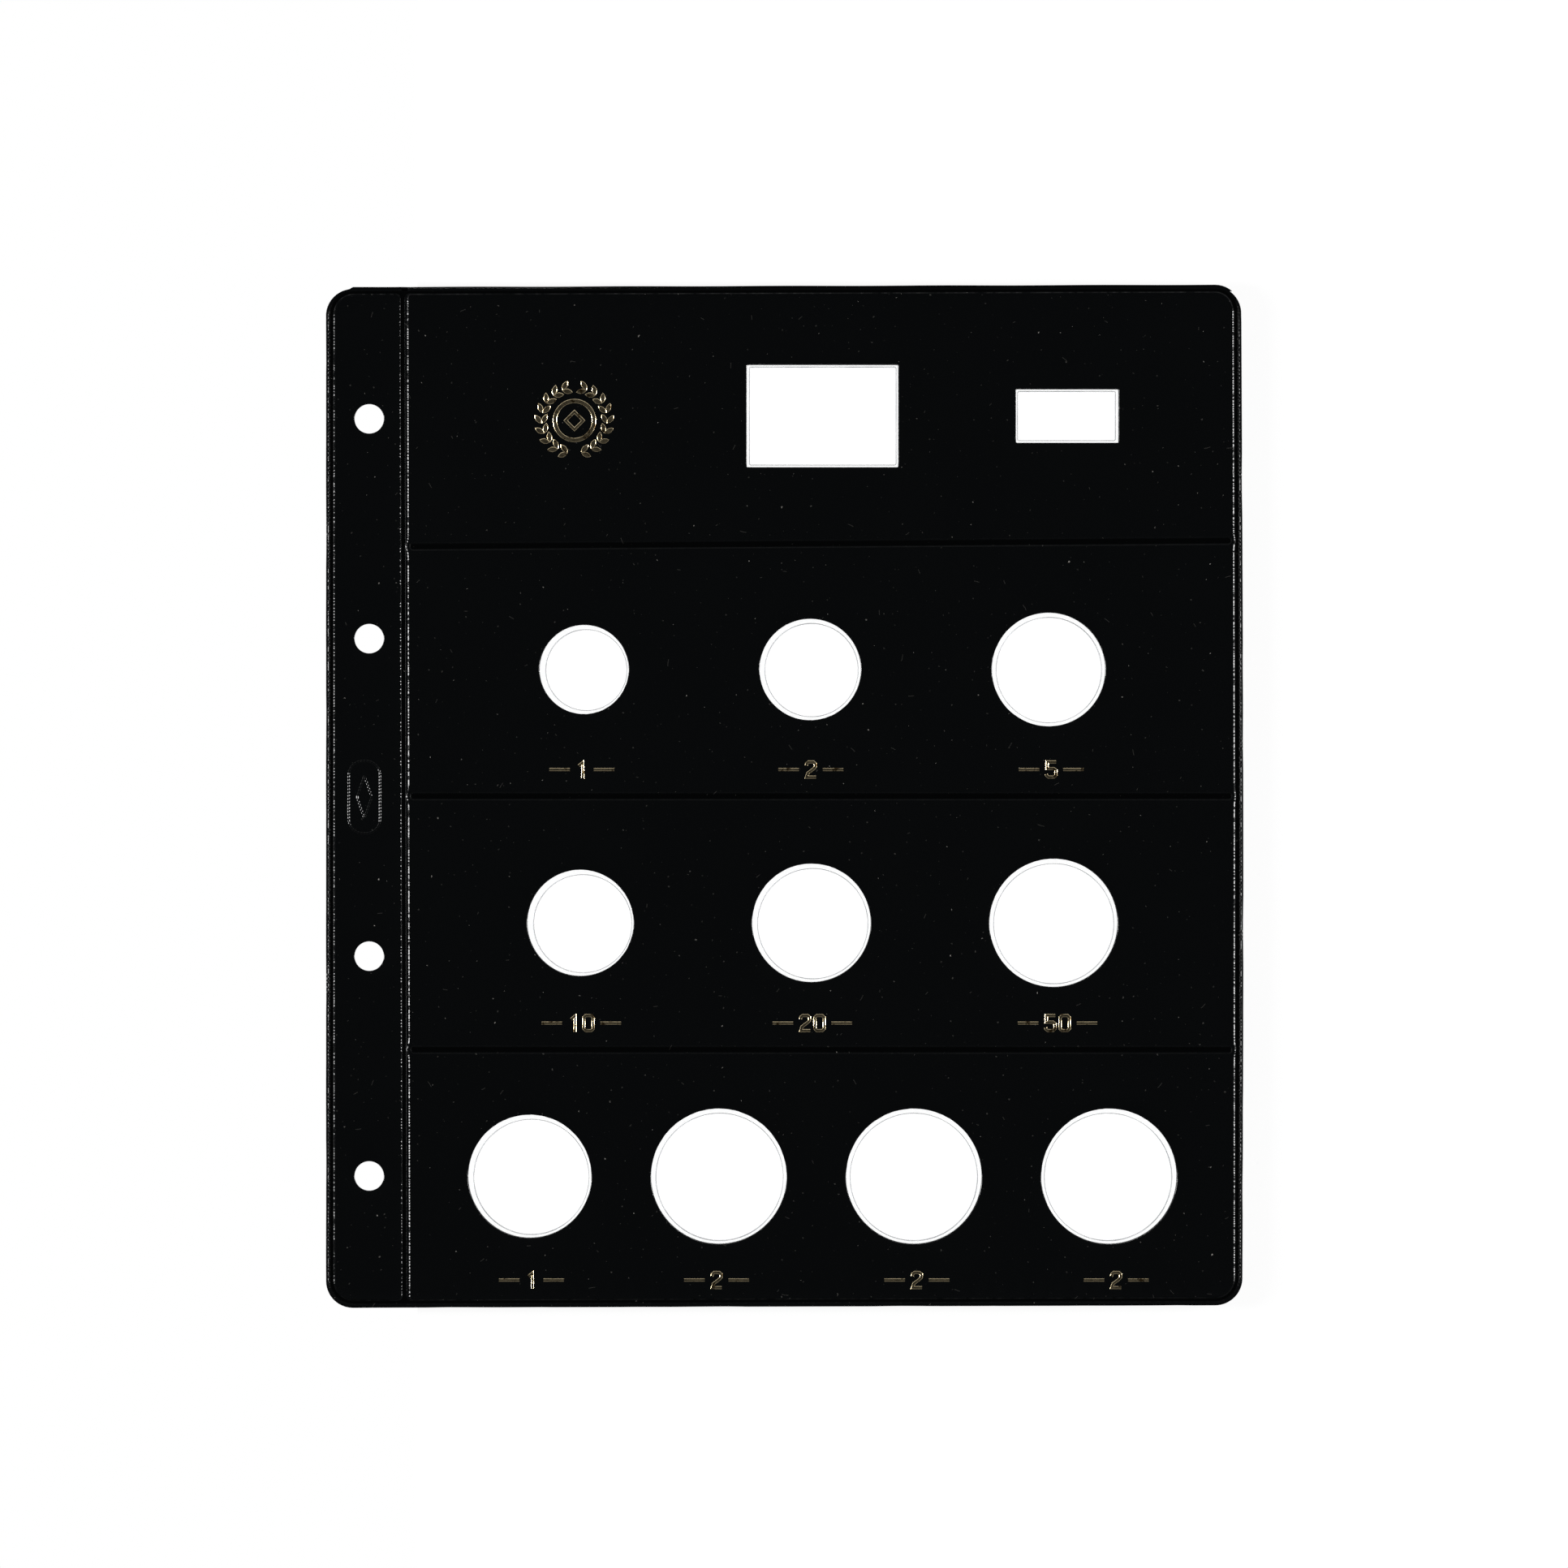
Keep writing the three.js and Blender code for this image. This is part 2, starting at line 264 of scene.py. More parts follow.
@dataclass(frozen=True)
class PagePlan:
    """Sizes of the page in millimetres."""

    left: float = -93.75
    right: float = 93.75
    top: float = 104.5
    corner: float = 5.5
    lip: float = 0.7
    rim_weld: float = 0.8
    row_pitch: float = 51.9
    row_weld: float = 1.2
    row_welds: tuple[RowWeld, ...] = (RowWeld(51.65, 0.0072), RowWeld(0.0), RowWeld(-51.9))
    land_corner: float = 0.8
    fold_x: float = -77.65
    fold_weld: float = 1.5
    ring_x: float = -84.92
    ring_radius: float = 3.0
    ring_heights: tuple[float, ...] = (77.25, 32.25, -32.75, -77.75)
    front_low: float = 3.4
    front_top: float = 3.8
    weld_top: float = 3.6
    coin_window_room: float = 2.0
    coin_cell_room: float = 0.5
    insert_window_room: float = 1.0
    insert_cell_room: float = 0.2
    insert_cell_corner: float = 0.4
    emblem_width: float = 21.0
    inserts: tuple[Point, ...] = ((30.0, 20.0), (20.0, 10.0))
    slant: float = 0.0028
    fold_lean: float = 0.0019
    rim_lean: float = 0.0027
    bow: float = 0.3
    bow_middle: float = -22.0
    bow_half: float = 97.0
    fold_room: float = 3.0
    margin_shy: float = 0.12
    insert_corner: float = 0.2
    ring_steps: int = 72
    waves: tuple[Mark, ...] = ((0.5, 14.1, 31.0, 0.0), (0.3, -23.0, 11.7, 1.3))
    wave_lift: float = 0.03
    wave_depth: float = 0.05
    wave_reach: Point = (1.2, 9.0)
    weld_lift: float = 0.03
    weld_reach: Point = (0.4, 2.2)
    coins: tuple[tuple[float, ...], ...] = (
        (16.25, 18.75, 21.25),
        (19.75, 22.25, 24.25),
        (23.25, 25.75, 25.75, 25.75),
    )

    @property
    def fold_left(self) -> float:
        """Margin side of the fold line."""
        return self.fold_x - self.fold_weld / 2

    @property
    def fold_right(self) -> float:
        """Pocket side of the fold line."""
        return self.fold_x + self.fold_weld / 2

    def row_middle(self, row: Row) -> float:
        """Height of a row's middle up the page."""
        return ((len(Row) - 1) / 2 - row.number) * self.row_pitch

    def slanted(self, stations: Sequence[Station]) -> list[Station]:
        """An outline as it is on the page, whose cut slants and whose fold leans a little.

        Args:
            stations: The outline as it was drawn.

        Returns:
            The moved stations.
        """
        moved = []
        for s in stations:
            lean = self.fold_lean * s.y if abs(s.x - self.fold_x) < self.fold_room else 0.0
            moved.append(Station(s.x - lean, s.y + self.slant * s.x, s.out_x, s.out_y, s.run))
        return moved

    def page(self, spacing: float, upright: float | None = None) -> list[Station]:
        """Outline of the whole page, whose right side bows out a little.

        Args:
            spacing: Longest step along the outline.
            upright: Longest step along the upright sides, if that is another one.

        Returns:
            The stations of the closed outline.
        """
        sides = (self.left, -self.top, self.right, self.top)
        outline = []
        for s in self.slanted(rounded_outline(sides, [self.corner] * 4, spacing, upright)):
            bow = self.bow * math.cos(math.pi / 2 * (s.y - self.bow_middle) / self.bow_half)
            outline.append(Station(s.x + bow * max(0.0, s.out_x), s.y, s.out_x, s.out_y, s.run))
        return outline

    def margin_land(self, spacing: float, upright: float) -> list[Station]:
        """Outline of the raised land of the binding margin.

        Args:
            spacing: Longest step along the outline.
            upright: Longest step along the upright sides, if that is another one.

        Returns:
            The stations of the closed outline.
        """
        inset = self.lip + self.rim_weld
        large = self.corner - inset
        sides = (self.left + inset + self.margin_shy, -self.top + inset, self.fold_left, self.top - inset)
        radii = [large, self.land_corner, self.land_corner, large]
        return self.slanted(rounded_outline(sides, radii, spacing, upright))

    def pocket_land(self, spacing: float, upright: float) -> list[Station]:
        """Outline of the raised land of the four pockets.

        Args:
            spacing: Longest step along the outline.
            upright: Longest step along the upright sides, if that is another one.

        Returns:
            The stations of the closed outline.
        """
        inset = self.lip + self.rim_weld
        large = self.corner - inset
        sides = (self.fold_right, -self.top + inset, self.right - inset, self.top - inset)
        radii = [self.land_corner, large, large, self.land_corner]
        outline = []
        for s in self.slanted(rounded_outline(sides, radii, spacing, upright)):
            lean = self.rim_lean * max(0.0, s.y) * max(0.0, s.out_x)
            outline.append(Station(s.x - lean, s.y, s.out_x, s.out_y, s.run))
        return outline

    def set_out(self, widths: Sequence[float]) -> list[float]:
        """Sets out a row's places with equal gaps between the fold, the places and the rim weld.

        Args:
            widths: Widths of the places.

        Returns:
            The middles from left to right.
        """
        end = self.right - self.lip - self.rim_weld / 2
        gap = (end - self.fold_right - sum(widths)) / (len(widths) + 1)
        middles = []
        x = self.fold_right
        for width in widths:
            x += gap + width
            middles.append(x - width / 2)
        return middles

    def openings(self, row: Row, cells: bool) -> list[Opening]:
        """The windows of a row, or the cells of its strip.

        Args:
            row: The row.
            cells: True for the cells of the strip, False for the windows of the sheets.

        Returns:
            The openings from left to right.
        """
        y = self.row_middle(row)
        if row is Row.INSERTS:
            widths = [self.emblem_width] + [size[0] + self.insert_window_room for size in self.inserts]
            room = self.insert_cell_room if cells else self.insert_window_room
            corner = self.insert_cell_corner if cells else self.insert_corner
            return [
                Opening(x, y, (width + room) / 2, (height + room) / 2, False, corner)
                for x, (width, height) in zip(self.set_out(widths)[1:], self.inserts)
            ]
        coins = self.coins[row.number - 1]
        room = self.coin_cell_room if cells else self.coin_window_room
        middles = self.set_out([coin + self.coin_window_room for coin in coins])
        return [
            Opening(x, y, (coin + room) / 2, (coin + room) / 2, True, ragged=True)
            for x, coin in zip(middles, coins)
        ]

    def ring_holes(self) -> list[Opening]:
        """The four ring holes.

        Returns:
            The holes from the top down.
        """
        radius = self.ring_radius
        steps = self.ring_steps
        return [Opening(self.ring_x, y, radius, radius, True, steps=steps) for y in self.ring_heights]

    def front_height(self, x: float, y: float) -> float:
        """Level of the front face, which lies in slight waves between the welds.

        Args:
            x: Place across the page.
            y: Place up the page.

        Returns:
            The level in millimetres.
        """
        from_weld = min(x - self.fold_right, self.right - self.lip - self.rim_weld - x)
        row_place = (y + 2 * self.row_pitch) % self.row_pitch
        from_weld = min(from_weld, row_place, self.row_pitch - row_place)
        if x < self.fold_x:
            from_weld = min(self.fold_left - x, x - self.left - self.lip - self.rim_weld, self.top - abs(y))
        wave = sum(part * math.sin(x / wide + y / tall + shift) for part, wide, tall, shift in self.waves)
        fading = self.weld_lift * (1 - smooth_step(*self.weld_reach, from_weld))
        swell = self.wave_lift + self.wave_depth * wave
        return self.front_top + fading + swell * smooth_step(*self.wave_reach, from_weld)


# Meshes


def inside(points: np.ndarray, loop: Sequence[Point]) -> np.ndarray:
    """Tests which points lie in a closed loop.

    Args:
        points: Rows of x and y.
        loop: Corners of the loop.

    Returns:
        One truth value for each point.
    """
    held = np.zeros(len(points), bool)
    x, y = points[:, 0], points[:, 1]
    for (from_x, from_y), (to_x, to_y) in zip(loop, [*loop[1:], loop[0]]):
        if from_y == to_y:
            continue
        crosses = (from_y > y) != (to_y > y)
        held ^= crosses & (x < (to_x - from_x) * (y - from_y) / (to_y - from_y) + from_x)
    return held


@dataclass(frozen=True)
class Face:
    """A face by the numbers of its corners, with its finish and whether it is shaded flat."""

    corners: tuple[int, ...]
    finish: int = 0
    flat: bool = False


@dataclass
class Skin:
    """The faces of one piece in millimetres, gathered before they become a mesh."""

    places: list[Place] = field(default_factory=list)
    faces: list[Face] = field(default_factory=list)

    def ring(self, places: Iterable[Place]) -> list[int]:
        """Adds points.

        Args:
            places: The points in order.

        Returns:
            The numbers of the points.
        """
        start = len(self.places)
        self.places.extend(places)
        return list(range(start, len(self.places)))

    def bridge(
        self,
        first: Sequence[int],
        second: Sequence[int],
        finish: int = 0,
        closed: bool = True,
        flat: bool = False,
    ) -> None:
        """Joins two rings of equal length with a band of quads.

        Args:
            first: Point numbers of one ring.
            second: Point numbers of the other ring.
            finish: Number of the finish on the band.
            closed: Whether the rings close on themselves.
            flat: Whether each quad is shaded flat.
        """
        count = len(first)
        for index in range(count if closed else count - 1):
            after = (index + 1) % count
            corners = (first[index], first[after], second[after], second[index])
            self.faces.append(Face(corners, finish, flat))

    def bands(
        self, rings: Sequence[Sequence[Place]], finish: int = 0, closed: bool = True, flat: Sequence[int] = ()
    ) -> None:
        """Adds rings and joins each one to the next.

        Args:
            rings: The rings in order.
            finish: Number of the finish on the bands.
            closed: Whether the rings close on themselves.
            flat: Numbers of the bands whose quads are shaded flat.
        """
        numbers = [self.ring(places) for places in rings]
        for band, (first, second) in enumerate(zip(numbers, numbers[1:])):
            self.bridge(first, second, finish, closed, band in flat)

    def fill(
        self,
        outer: Sequence[Point],
        holes: Sequence[Sequence[Point]],
        height: Height,
        spares: Iterable[Point] = (),
        finish: int = 0,
    ) -> None:
        """Covers the ground between an outer loop and its holes with triangles.

        Args:
            outer: The outer loop.
            holes: Loops that stay open.
            height: Level of the surface at a point.
            spares: Further points for the surface to pass through.
            finish: Number of the finish on the triangles.
        """
        corners: list[Point] = []
        edges: list[tuple[int, int]] = []
        for loop in (outer, *holes):
            start = len(corners)
            corners.extend(loop)
            count = len(loop)
            edges.extend((start + step, start + (step + 1) % count) for step in range(count))
        corners.extend(spares)
        flat, _, triangles, *_ = delaunay_2d_cdt([Vector(p) for p in corners], edges, [], 0, TOUCH)
        spots = np.array([(p.x, p.y) for p in flat])
        corners_of = spots[np.array(triangles)]
        middles = corners_of.mean(axis=1)
        sides = corners_of[:, 1:] - corners_of[:, :1]
        areas = abs(sides[:, 0, 0] * sides[:, 1, 1] - sides[:, 0, 1] * sides[:, 1, 0]) / 2
        kept = inside(middles, outer) & (areas > SLIVER)
        for hole in holes:
            kept &= ~inside(middles, hole)
        start = len(self.places)
        self.places.extend((x, y, height(x, y)) for x, y in spots.tolist())
        for triangle, keep in zip(triangles, kept):
            if keep:
                self.faces.append(Face(tuple(start + corner for corner in triangle), finish))

    def to_object(self, name: str, sharp: float, closed: bool = True) -> bpy.types.Object:
        """Makes the mesh and its object, at the origin and in metres.

        Args:
            name: Name of the piece.
            sharp: Angle in degrees over which an edge stays sharp.
            closed: Whether the skin encloses a solid, so that its faces can be turned outwards.

        Returns:
            The object, linked to the scene.
        """
        mesh = bpy.data.meshes.new(name)
        work = bmesh.new()
        points = [work.verts.new([value * MM for value in place]) for place in self.places]
        for face in self.faces:
            made = work.faces.new([points[corner] for corner in face.corners])
            made.material_index = face.finish
            made.smooth = not face.flat
        bmesh.ops.remove_doubles(work, verts=work.verts, dist=MERGE)
        loose = [vert for vert in work.verts if not vert.link_faces]
        bmesh.ops.delete(work, geom=loose, context="VERTS")
        if closed:
            bmesh.ops.recalc_face_normals(work, faces=work.faces)
        work.to_mesh(mesh)
        work.free()
        smooth = [True] * len(mesh.polygons)
        mesh.polygons.foreach_get("use_smooth", smooth)
        mesh.set_sharp_from_angle(angle=math.radians(sharp))
        mesh.polygons.foreach_set("use_smooth", smooth)
        piece = bpy.data.objects.new(name, mesh)
        bpy.context.scene.collection.objects.link(piece)
        return piece


def finish_shading(mesh: bpy.types.Mesh, sharp: float) -> None:
    """Shades a mesh smooth, apart from edges over the given angle in degrees."""
    mesh.shade_smooth()
    mesh.set_sharp_from_angle(angle=math.radians(sharp))


def plain_mesh(piece: bpy.types.Object) -> bpy.types.Mesh:
    """The mesh of a piece with its modifiers applied."""
    graph = bpy.context.evaluated_depsgraph_get()
    return bpy.data.meshes.new_from_object(piece.evaluated_get(graph))


def grid(sides: Sides, step: float) -> list[Point]:
    """Points of a staggered grid inside a rectangle.

    Args:
        sides: Left, low, right and high side.
        step: Distance between neighbours.

    Returns:
        The points.
    """
    left, low, right, high = sides
    rows = max(2, round((high - low) / step))
    columns = max(2, round((right - left) / step))
    points = []
    for row in range(rows + 1):
        shift = STAGGER if row % 2 else -STAGGER
        for column in range(columns + 1):
            share = (column + shift) / columns
            if 0 <= share <= 1:
                points.append((left + (right - left) * share, low + (high - low) * row / rows))
    return points


# Shader graphs


Socket = bpy.types.NodeSocket
Value = float | tuple[float, ...] | Socket


@dataclass
class Graph:
    """Adds nodes to a shader or geometry tree and joins them."""

    tree: bpy.types.NodeTree

    def add(
        self,
        kind: str,
        settings: dict[str, object] | None = None,
        inputs: dict[str | int, Value] | None = None,
    ) -> bpy.types.Node:
        """Adds one node.

        Args:
            kind: Type name of the node.
            settings: Properties of the node.
            inputs: Values or sockets for its inputs, by name or number.

        Returns:
            The node.
        """
        node = self.tree.nodes.new(kind)
        for key, value in (settings or {}).items():
            setattr(node, key, value)
        for key, value in (inputs or {}).items():
            if isinstance(value, bpy.types.NodeSocket):
                self.tree.links.new(value, node.inputs[key])
            else:
                node.inputs[key].default_value = value
        return node

    def math(self, operation: str, first: Value, second: Value = 0.0, third: Value = 0.0) -> Socket:
        """Adds a Math node and returns its result."""
        node = self.add("ShaderNodeMath", {"operation": operation}, {0: first, 1: second, 2: third})
        return node.outputs[0]

    def ranged(self, value: Value, span: Point, to: Point) -> Socket:
        """Maps a value from one range to another, held at its ends."""
        inputs = {"Value": value, "From Min": span[0], "From Max": span[1], "To Min": to[0], "To Max": to[1]}
        return self.add("ShaderNodeMapRange", {"clamp": True}, inputs).outputs["Result"]

    def mixed(self, share: Value, first: Value, second: Value) -> Socket:
        """Mixes two colours."""
        node = self.add("ShaderNodeMix", {"data_type": "RGBA"}, {0: share, 6: first, 7: second})
        return node.outputs[2]


@dataclass(frozen=True)
class NodeGroups:
    """Effects that several finishes share, each built once."""

    grain_round: float = 0.6
    grain_finer: float = 2.3
    fray: float = 0.0005
    fray_scale: float = 2600.0
    speck_sizes: Point = (0.35, 1.0)
    speck_edge: Point = (0.55, 1.0)
    speck_fade: float = 2.5
    cloud_span: Point = (0.3, 0.7)

    def begin(
        self, name: str, inputs: dict[str, float], outputs: Sequence[str]
    ) -> tuple[Graph, bpy.types.Node, bpy.types.Node]:
        """Starts a group that reads a Vector and numbers and puts out numbers.

        Args:
            name: Name of the group.
            inputs: Names of the numbers with their usual values.
            outputs: Names of the results.

        Returns:
            The graph, the node with the group's inputs and the node with its outputs.
        """
        tree = bpy.data.node_groups.new(name, "ShaderNodeTree")
        tree.interface.new_socket(name="Vector", in_out="INPUT", socket_type="NodeSocketVector")
        for key, value in inputs.items():
            socket = tree.interface.new_socket(name=key, in_out="INPUT", socket_type="NodeSocketFloat")
            socket.default_value = value
        for key in outputs:
            tree.interface.new_socket(name=key, in_out="OUTPUT", socket_type="NodeSocketFloat")
        graph = Graph(tree)
        return graph, graph.add("NodeGroupInput"), graph.add("NodeGroupOutput")

    @cache
    def grain(self) -> bpy.types.NodeTree:
        """Pebbled grain that calendered plastic has: small rounded grains over finer unevenness.

        Returns:
            The group.
        """
        graph, given, result = self.begin("pebble_grain", {"Grains": 1500.0, "Fineness": 0.35}, ["Height"])
        where, grains = given.outputs["Vector"], given.outputs["Grains"]
        pebbles = {"Vector": where, "Scale": grains, "Smoothness": self.grain_round}
        cells = graph.add("ShaderNodeTexVoronoi", {"feature": "SMOOTH_F1"}, pebbles)
        finer = graph.math("MULTIPLY", grains, self.grain_finer)
        fine = graph.add("ShaderNodeTexNoise", {}, {"Vector": where, "Scale": finer, "Detail": 2.0})
        rough = graph.math("MULTIPLY", fine.outputs["Fac"], given.outputs["Fineness"])
        height = graph.math("SUBTRACT", rough, cells.outputs["Distance"])
        graph.tree.links.new(height, result.inputs["Height"])
        return graph.tree

    @cache
    def dust(self) -> bpy.types.NodeTree:
        """Scattered specks of dust, most of them faint.

        Returns:
            The group.
        """
        numbers = {"Spots": 400.0, "Share": 0.3, "Radius": 0.0001}
        graph, given, result = self.begin("dust_specks", numbers, ["Mask"])
        ragged = {"Vector": given.outputs["Vector"], "Scale": self.fray_scale}
        noise = graph.add("ShaderNodeTexNoise", {}, ragged)
        frayed = graph.add(
            "ShaderNodeVectorMath",
            {"operation": "MULTIPLY_ADD"},
            {0: noise.outputs["Color"], 1: (self.fray, self.fray, 0.0), 2: given.outputs["Vector"]},
        )
        cells = graph.add(
            "ShaderNodeTexVoronoi",
            {"feature": "F1", "voronoi_dimensions": "2D"},
            {"Vector": frayed.outputs["Vector"], "Scale": given.outputs["Spots"]},
        )
        chances = graph.add("ShaderNodeSeparateColor", {}, {"Color": cells.outputs["Color"]})
        size = graph.ranged(graph.math("POWER", chances.outputs["Red"], 3.0), (0.0, 1.0), self.speck_sizes)
        reach = graph.math("MULTIPLY", given.outputs["Radius"], given.outputs["Spots"])
        ratio = graph.math("DIVIDE", cells.outputs["Distance"], graph.math("MULTIPLY", reach, size))
        speck = graph.ranged(ratio, self.speck_edge, (1.0, 0.0))
        chosen = graph.math("LESS_THAN", chances.outputs["Green"], given.outputs["Share"])
        bright = graph.math("POWER", chances.outputs["Blue"], self.speck_fade)
        mask = graph.math("MULTIPLY", graph.math("MULTIPLY", speck, chosen), bright)
        graph.tree.links.new(mask, result.inputs["Mask"])
        return graph.tree

    @cache
    def fibres(self) -> bpy.types.NodeTree:
        """Short curved lines, as stray fibres or fine scratches.

        Returns:
            The group.
        """
        numbers = {"Fibres": 60.0, "Share": 0.2, "Length": 0.001, "Width": 0.00004, "Bend": 120.0}
        graph, given, result = self.begin("short_fibres", numbers, ["Mask"])
        cells = graph.add(
            "ShaderNodeTexVoronoi",
            {"feature": "F1", "voronoi_dimensions": "2D"},
            {"Vector": given.outputs["Vector"], "Scale": given.outputs["Fibres"]},
        )
        chances = graph.add("ShaderNodeSeparateColor", {}, {"Color": cells.outputs["Color"]})
        local = graph.add(
            "ShaderNodeVectorMath",
            {"operation": "SUBTRACT"},
            {0: given.outputs["Vector"], 1: cells.outputs["Position"]},
        )
        angle = graph.math("MULTIPLY", chances.outputs["Red"], FULL_TURN)
        turned = graph.add(
            "ShaderNodeVectorRotate",
            {"rotation_type": "Z_AXIS"},
            {"Vector": local.outputs["Vector"], "Angle": angle},
        )
        parts = graph.add("ShaderNodeSeparateXYZ", {}, {"Vector": turned.outputs["Vector"]})
        square = graph.math("MULTIPLY", parts.outputs["X"], parts.outputs["X"])
        bend = graph.math("MULTIPLY", given.outputs["Bend"], chances.outputs["Blue"])
        bow = graph.math("MULTIPLY", square, bend)
        aside = graph.math("ABSOLUTE", graph.math("SUBTRACT", parts.outputs["Y"], bow))
        thin = graph.math("LESS_THAN", aside, given.outputs["Width"])
        reach = graph.math("MULTIPLY", given.outputs["Length"], chances.outputs["Blue"])
        short = graph.math("LESS_THAN", graph.math("ABSOLUTE", parts.outputs["X"]), reach)
        chosen = graph.math("LESS_THAN", chances.outputs["Green"], given.outputs["Share"])
        mask = graph.math("MULTIPLY", graph.math("MULTIPLY", thin, short), chosen)
        graph.tree.links.new(mask, result.inputs["Mask"])
        return graph.tree

    @cache
    def clouds(self) -> bpy.types.NodeTree:
        """Slow, soft unevenness, as handling leaves on a gloss.

        Returns:
            The group.
        """
        graph, given, result = self.begin("soft_clouds", {"Clouds": 40.0}, ["Value"])
        soft = {"Vector": given.outputs["Vector"], "Scale": given.outputs["Clouds"], "Detail": 3.0}
        noise = graph.add("ShaderNodeTexNoise", {}, soft)
        value = graph.ranged(noise.outputs["Fac"], self.cloud_span, (0.0, 1.0))
        graph.tree.links.new(value, result.inputs["Value"])
        return graph.tree


GROUPS = NodeGroups()


@dataclass(frozen=True)
class Finish:
    """A finish with its name."""

    name: str

    def start(self) -> tuple[bpy.types.Material, Graph, bpy.types.Node, Socket]:
        """Makes the material with its shader.

        Returns:
            The material, its graph, the shader and the Object coordinates.
        """
        material = bpy.data.materials.new(self.name)
        material.use_nodes = True
        graph = Graph(material.node_tree)
        shader = material.node_tree.nodes["Principled BSDF"]
        where = graph.add("ShaderNodeTexCoord").outputs["Object"]
        return material, graph, shader, where

    def effect(
        self, graph: Graph, tree: bpy.types.NodeTree, where: Socket, numbers: dict[str, float]
    ) -> Socket:
        """Places a shared effect in a material and returns its result."""
        node = graph.add("ShaderNodeGroup", {"node_tree": tree}, {"Vector": where, **numbers})
        return node.outputs[0]

    def bump(self, graph: Graph, height: Socket, strength: float, distance: float) -> Socket:
        """Turns a height into a normal."""
        inputs = {"Height": height, "Strength": strength, "Distance": distance}
        return graph.add("ShaderNodeBump", {}, inputs).outputs["Normal"]


@dataclass(frozen=True)
class BlackVinyl(Finish):
    """Soft black sheet with a fine grain, a little dust and a few stray fibres."""

    colour: Place = (0.0026, 0.003, 0.0033)
    dust: Place = (0.42, 0.4, 0.37)
    gloss: Point = (0.14, 0.18)
    grain_depth: float = 0.00003
    grain_strength: float = 0.3
    fine_dust: float = 0.12
    large_dust: float = 0.7
    hair_dust: float = 0.06
    dust_roughness: float = 0.5
    ior: float = 1.45
    dust_level: float = 0.00375
    dust_reach: float = 0.00075
    dirt: float = 1.0

    def make(self) -> bpy.types.Material:
        """Builds the material.

        Returns:
            The material.
        """
        material, graph, shader, where = self.start()
        fine = self.effect(graph, GROUPS.dust(), where, {"Spots": 430.0, "Share": 0.55, "Radius": 0.0002})
        large = self.effect(graph, GROUPS.dust(), where, {"Spots": 170.0, "Share": 0.6, "Radius": 0.0002})
        hair = {"Fibres": 115.0, "Share": 0.45, "Length": 0.0007, "Width": 0.00006}
        hairs = self.effect(graph, GROUPS.fibres(), where, hair)
        small = graph.math("MULTIPLY", fine, self.fine_dust)
        specks = graph.math("ADD", small, graph.math("MULTIPLY", large, self.large_dust))
        dirt = graph.math("MAXIMUM", specks, graph.math("MULTIPLY", hairs, self.hair_dust))
        height = graph.add("ShaderNodeSeparateXYZ", {}, {"Vector": where}).outputs["Z"]
        on_front = graph.math("COMPARE", height, self.dust_level, self.dust_reach)
        share = graph.math("MULTIPLY", graph.math("MULTIPLY", dirt, self.dirt), on_front)
        colour = graph.mixed(share, (*self.colour, 1.0), (*self.dust, 1.0))
        clouds = self.effect(graph, GROUPS.clouds(), where, {"Clouds": 60.0})
        rough = graph.ranged(clouds, (0.0, 1.0), self.gloss)
        grain = self.effect(graph, GROUPS.grain(), where, {"Grains": 1550.0})
        normal = self.bump(graph, grain, self.grain_strength, self.grain_depth)
        links = graph.tree.links
        links.new(colour, shader.inputs["Base Color"])
        dulled = graph.math("ADD", rough, graph.math("MULTIPLY", share, self.dust_roughness))
        links.new(dulled, shader.inputs["Roughness"])
        links.new(normal, shader.inputs["Normal"])
        shader.inputs["IOR"].default_value = self.ior
        return material


@dataclass(frozen=True)
class ClearPlastic(Finish):
    """Clear plastic with faint handling marks."""

    colour: Place = (0.985, 0.99, 0.992)
    cover: float = 0.3
    gloss: Point = (0.03, 0.1)
    ripple: float = 0.00004
    ripple_strength: float = 0.25
    scratch_roughness: float = 0.1
    ior: float = 1.4

    def make(self) -> bpy.types.Material:
        """Builds the material.

        Returns:
            The material.
        """
        material, graph, shader, where = self.start()
        clouds = self.effect(graph, GROUPS.clouds(), where, {"Clouds": 90.0})
        scratch = {"Fibres": 120.0, "Share": 0.3, "Length": 0.003, "Width": 0.00002}
        scratches = self.effect(graph, GROUPS.fibres(), where, scratch)
        rough = graph.ranged(clouds, (0.0, 1.0), self.gloss)
        marked = graph.math("ADD", rough, graph.math("MULTIPLY", scratches, self.scratch_roughness))
        links = graph.tree.links
        links.new(marked, shader.inputs["Roughness"])
        links.new(self.bump(graph, clouds, self.ripple_strength, self.ripple), shader.inputs["Normal"])
        shader.inputs["Base Color"].default_value = (*self.colour, 1.0)
        shader.inputs["IOR"].default_value = self.ior
        shader.inputs["Transmission Weight"].default_value = 1.0
        shader.inputs["Alpha"].default_value = self.cover
        return material


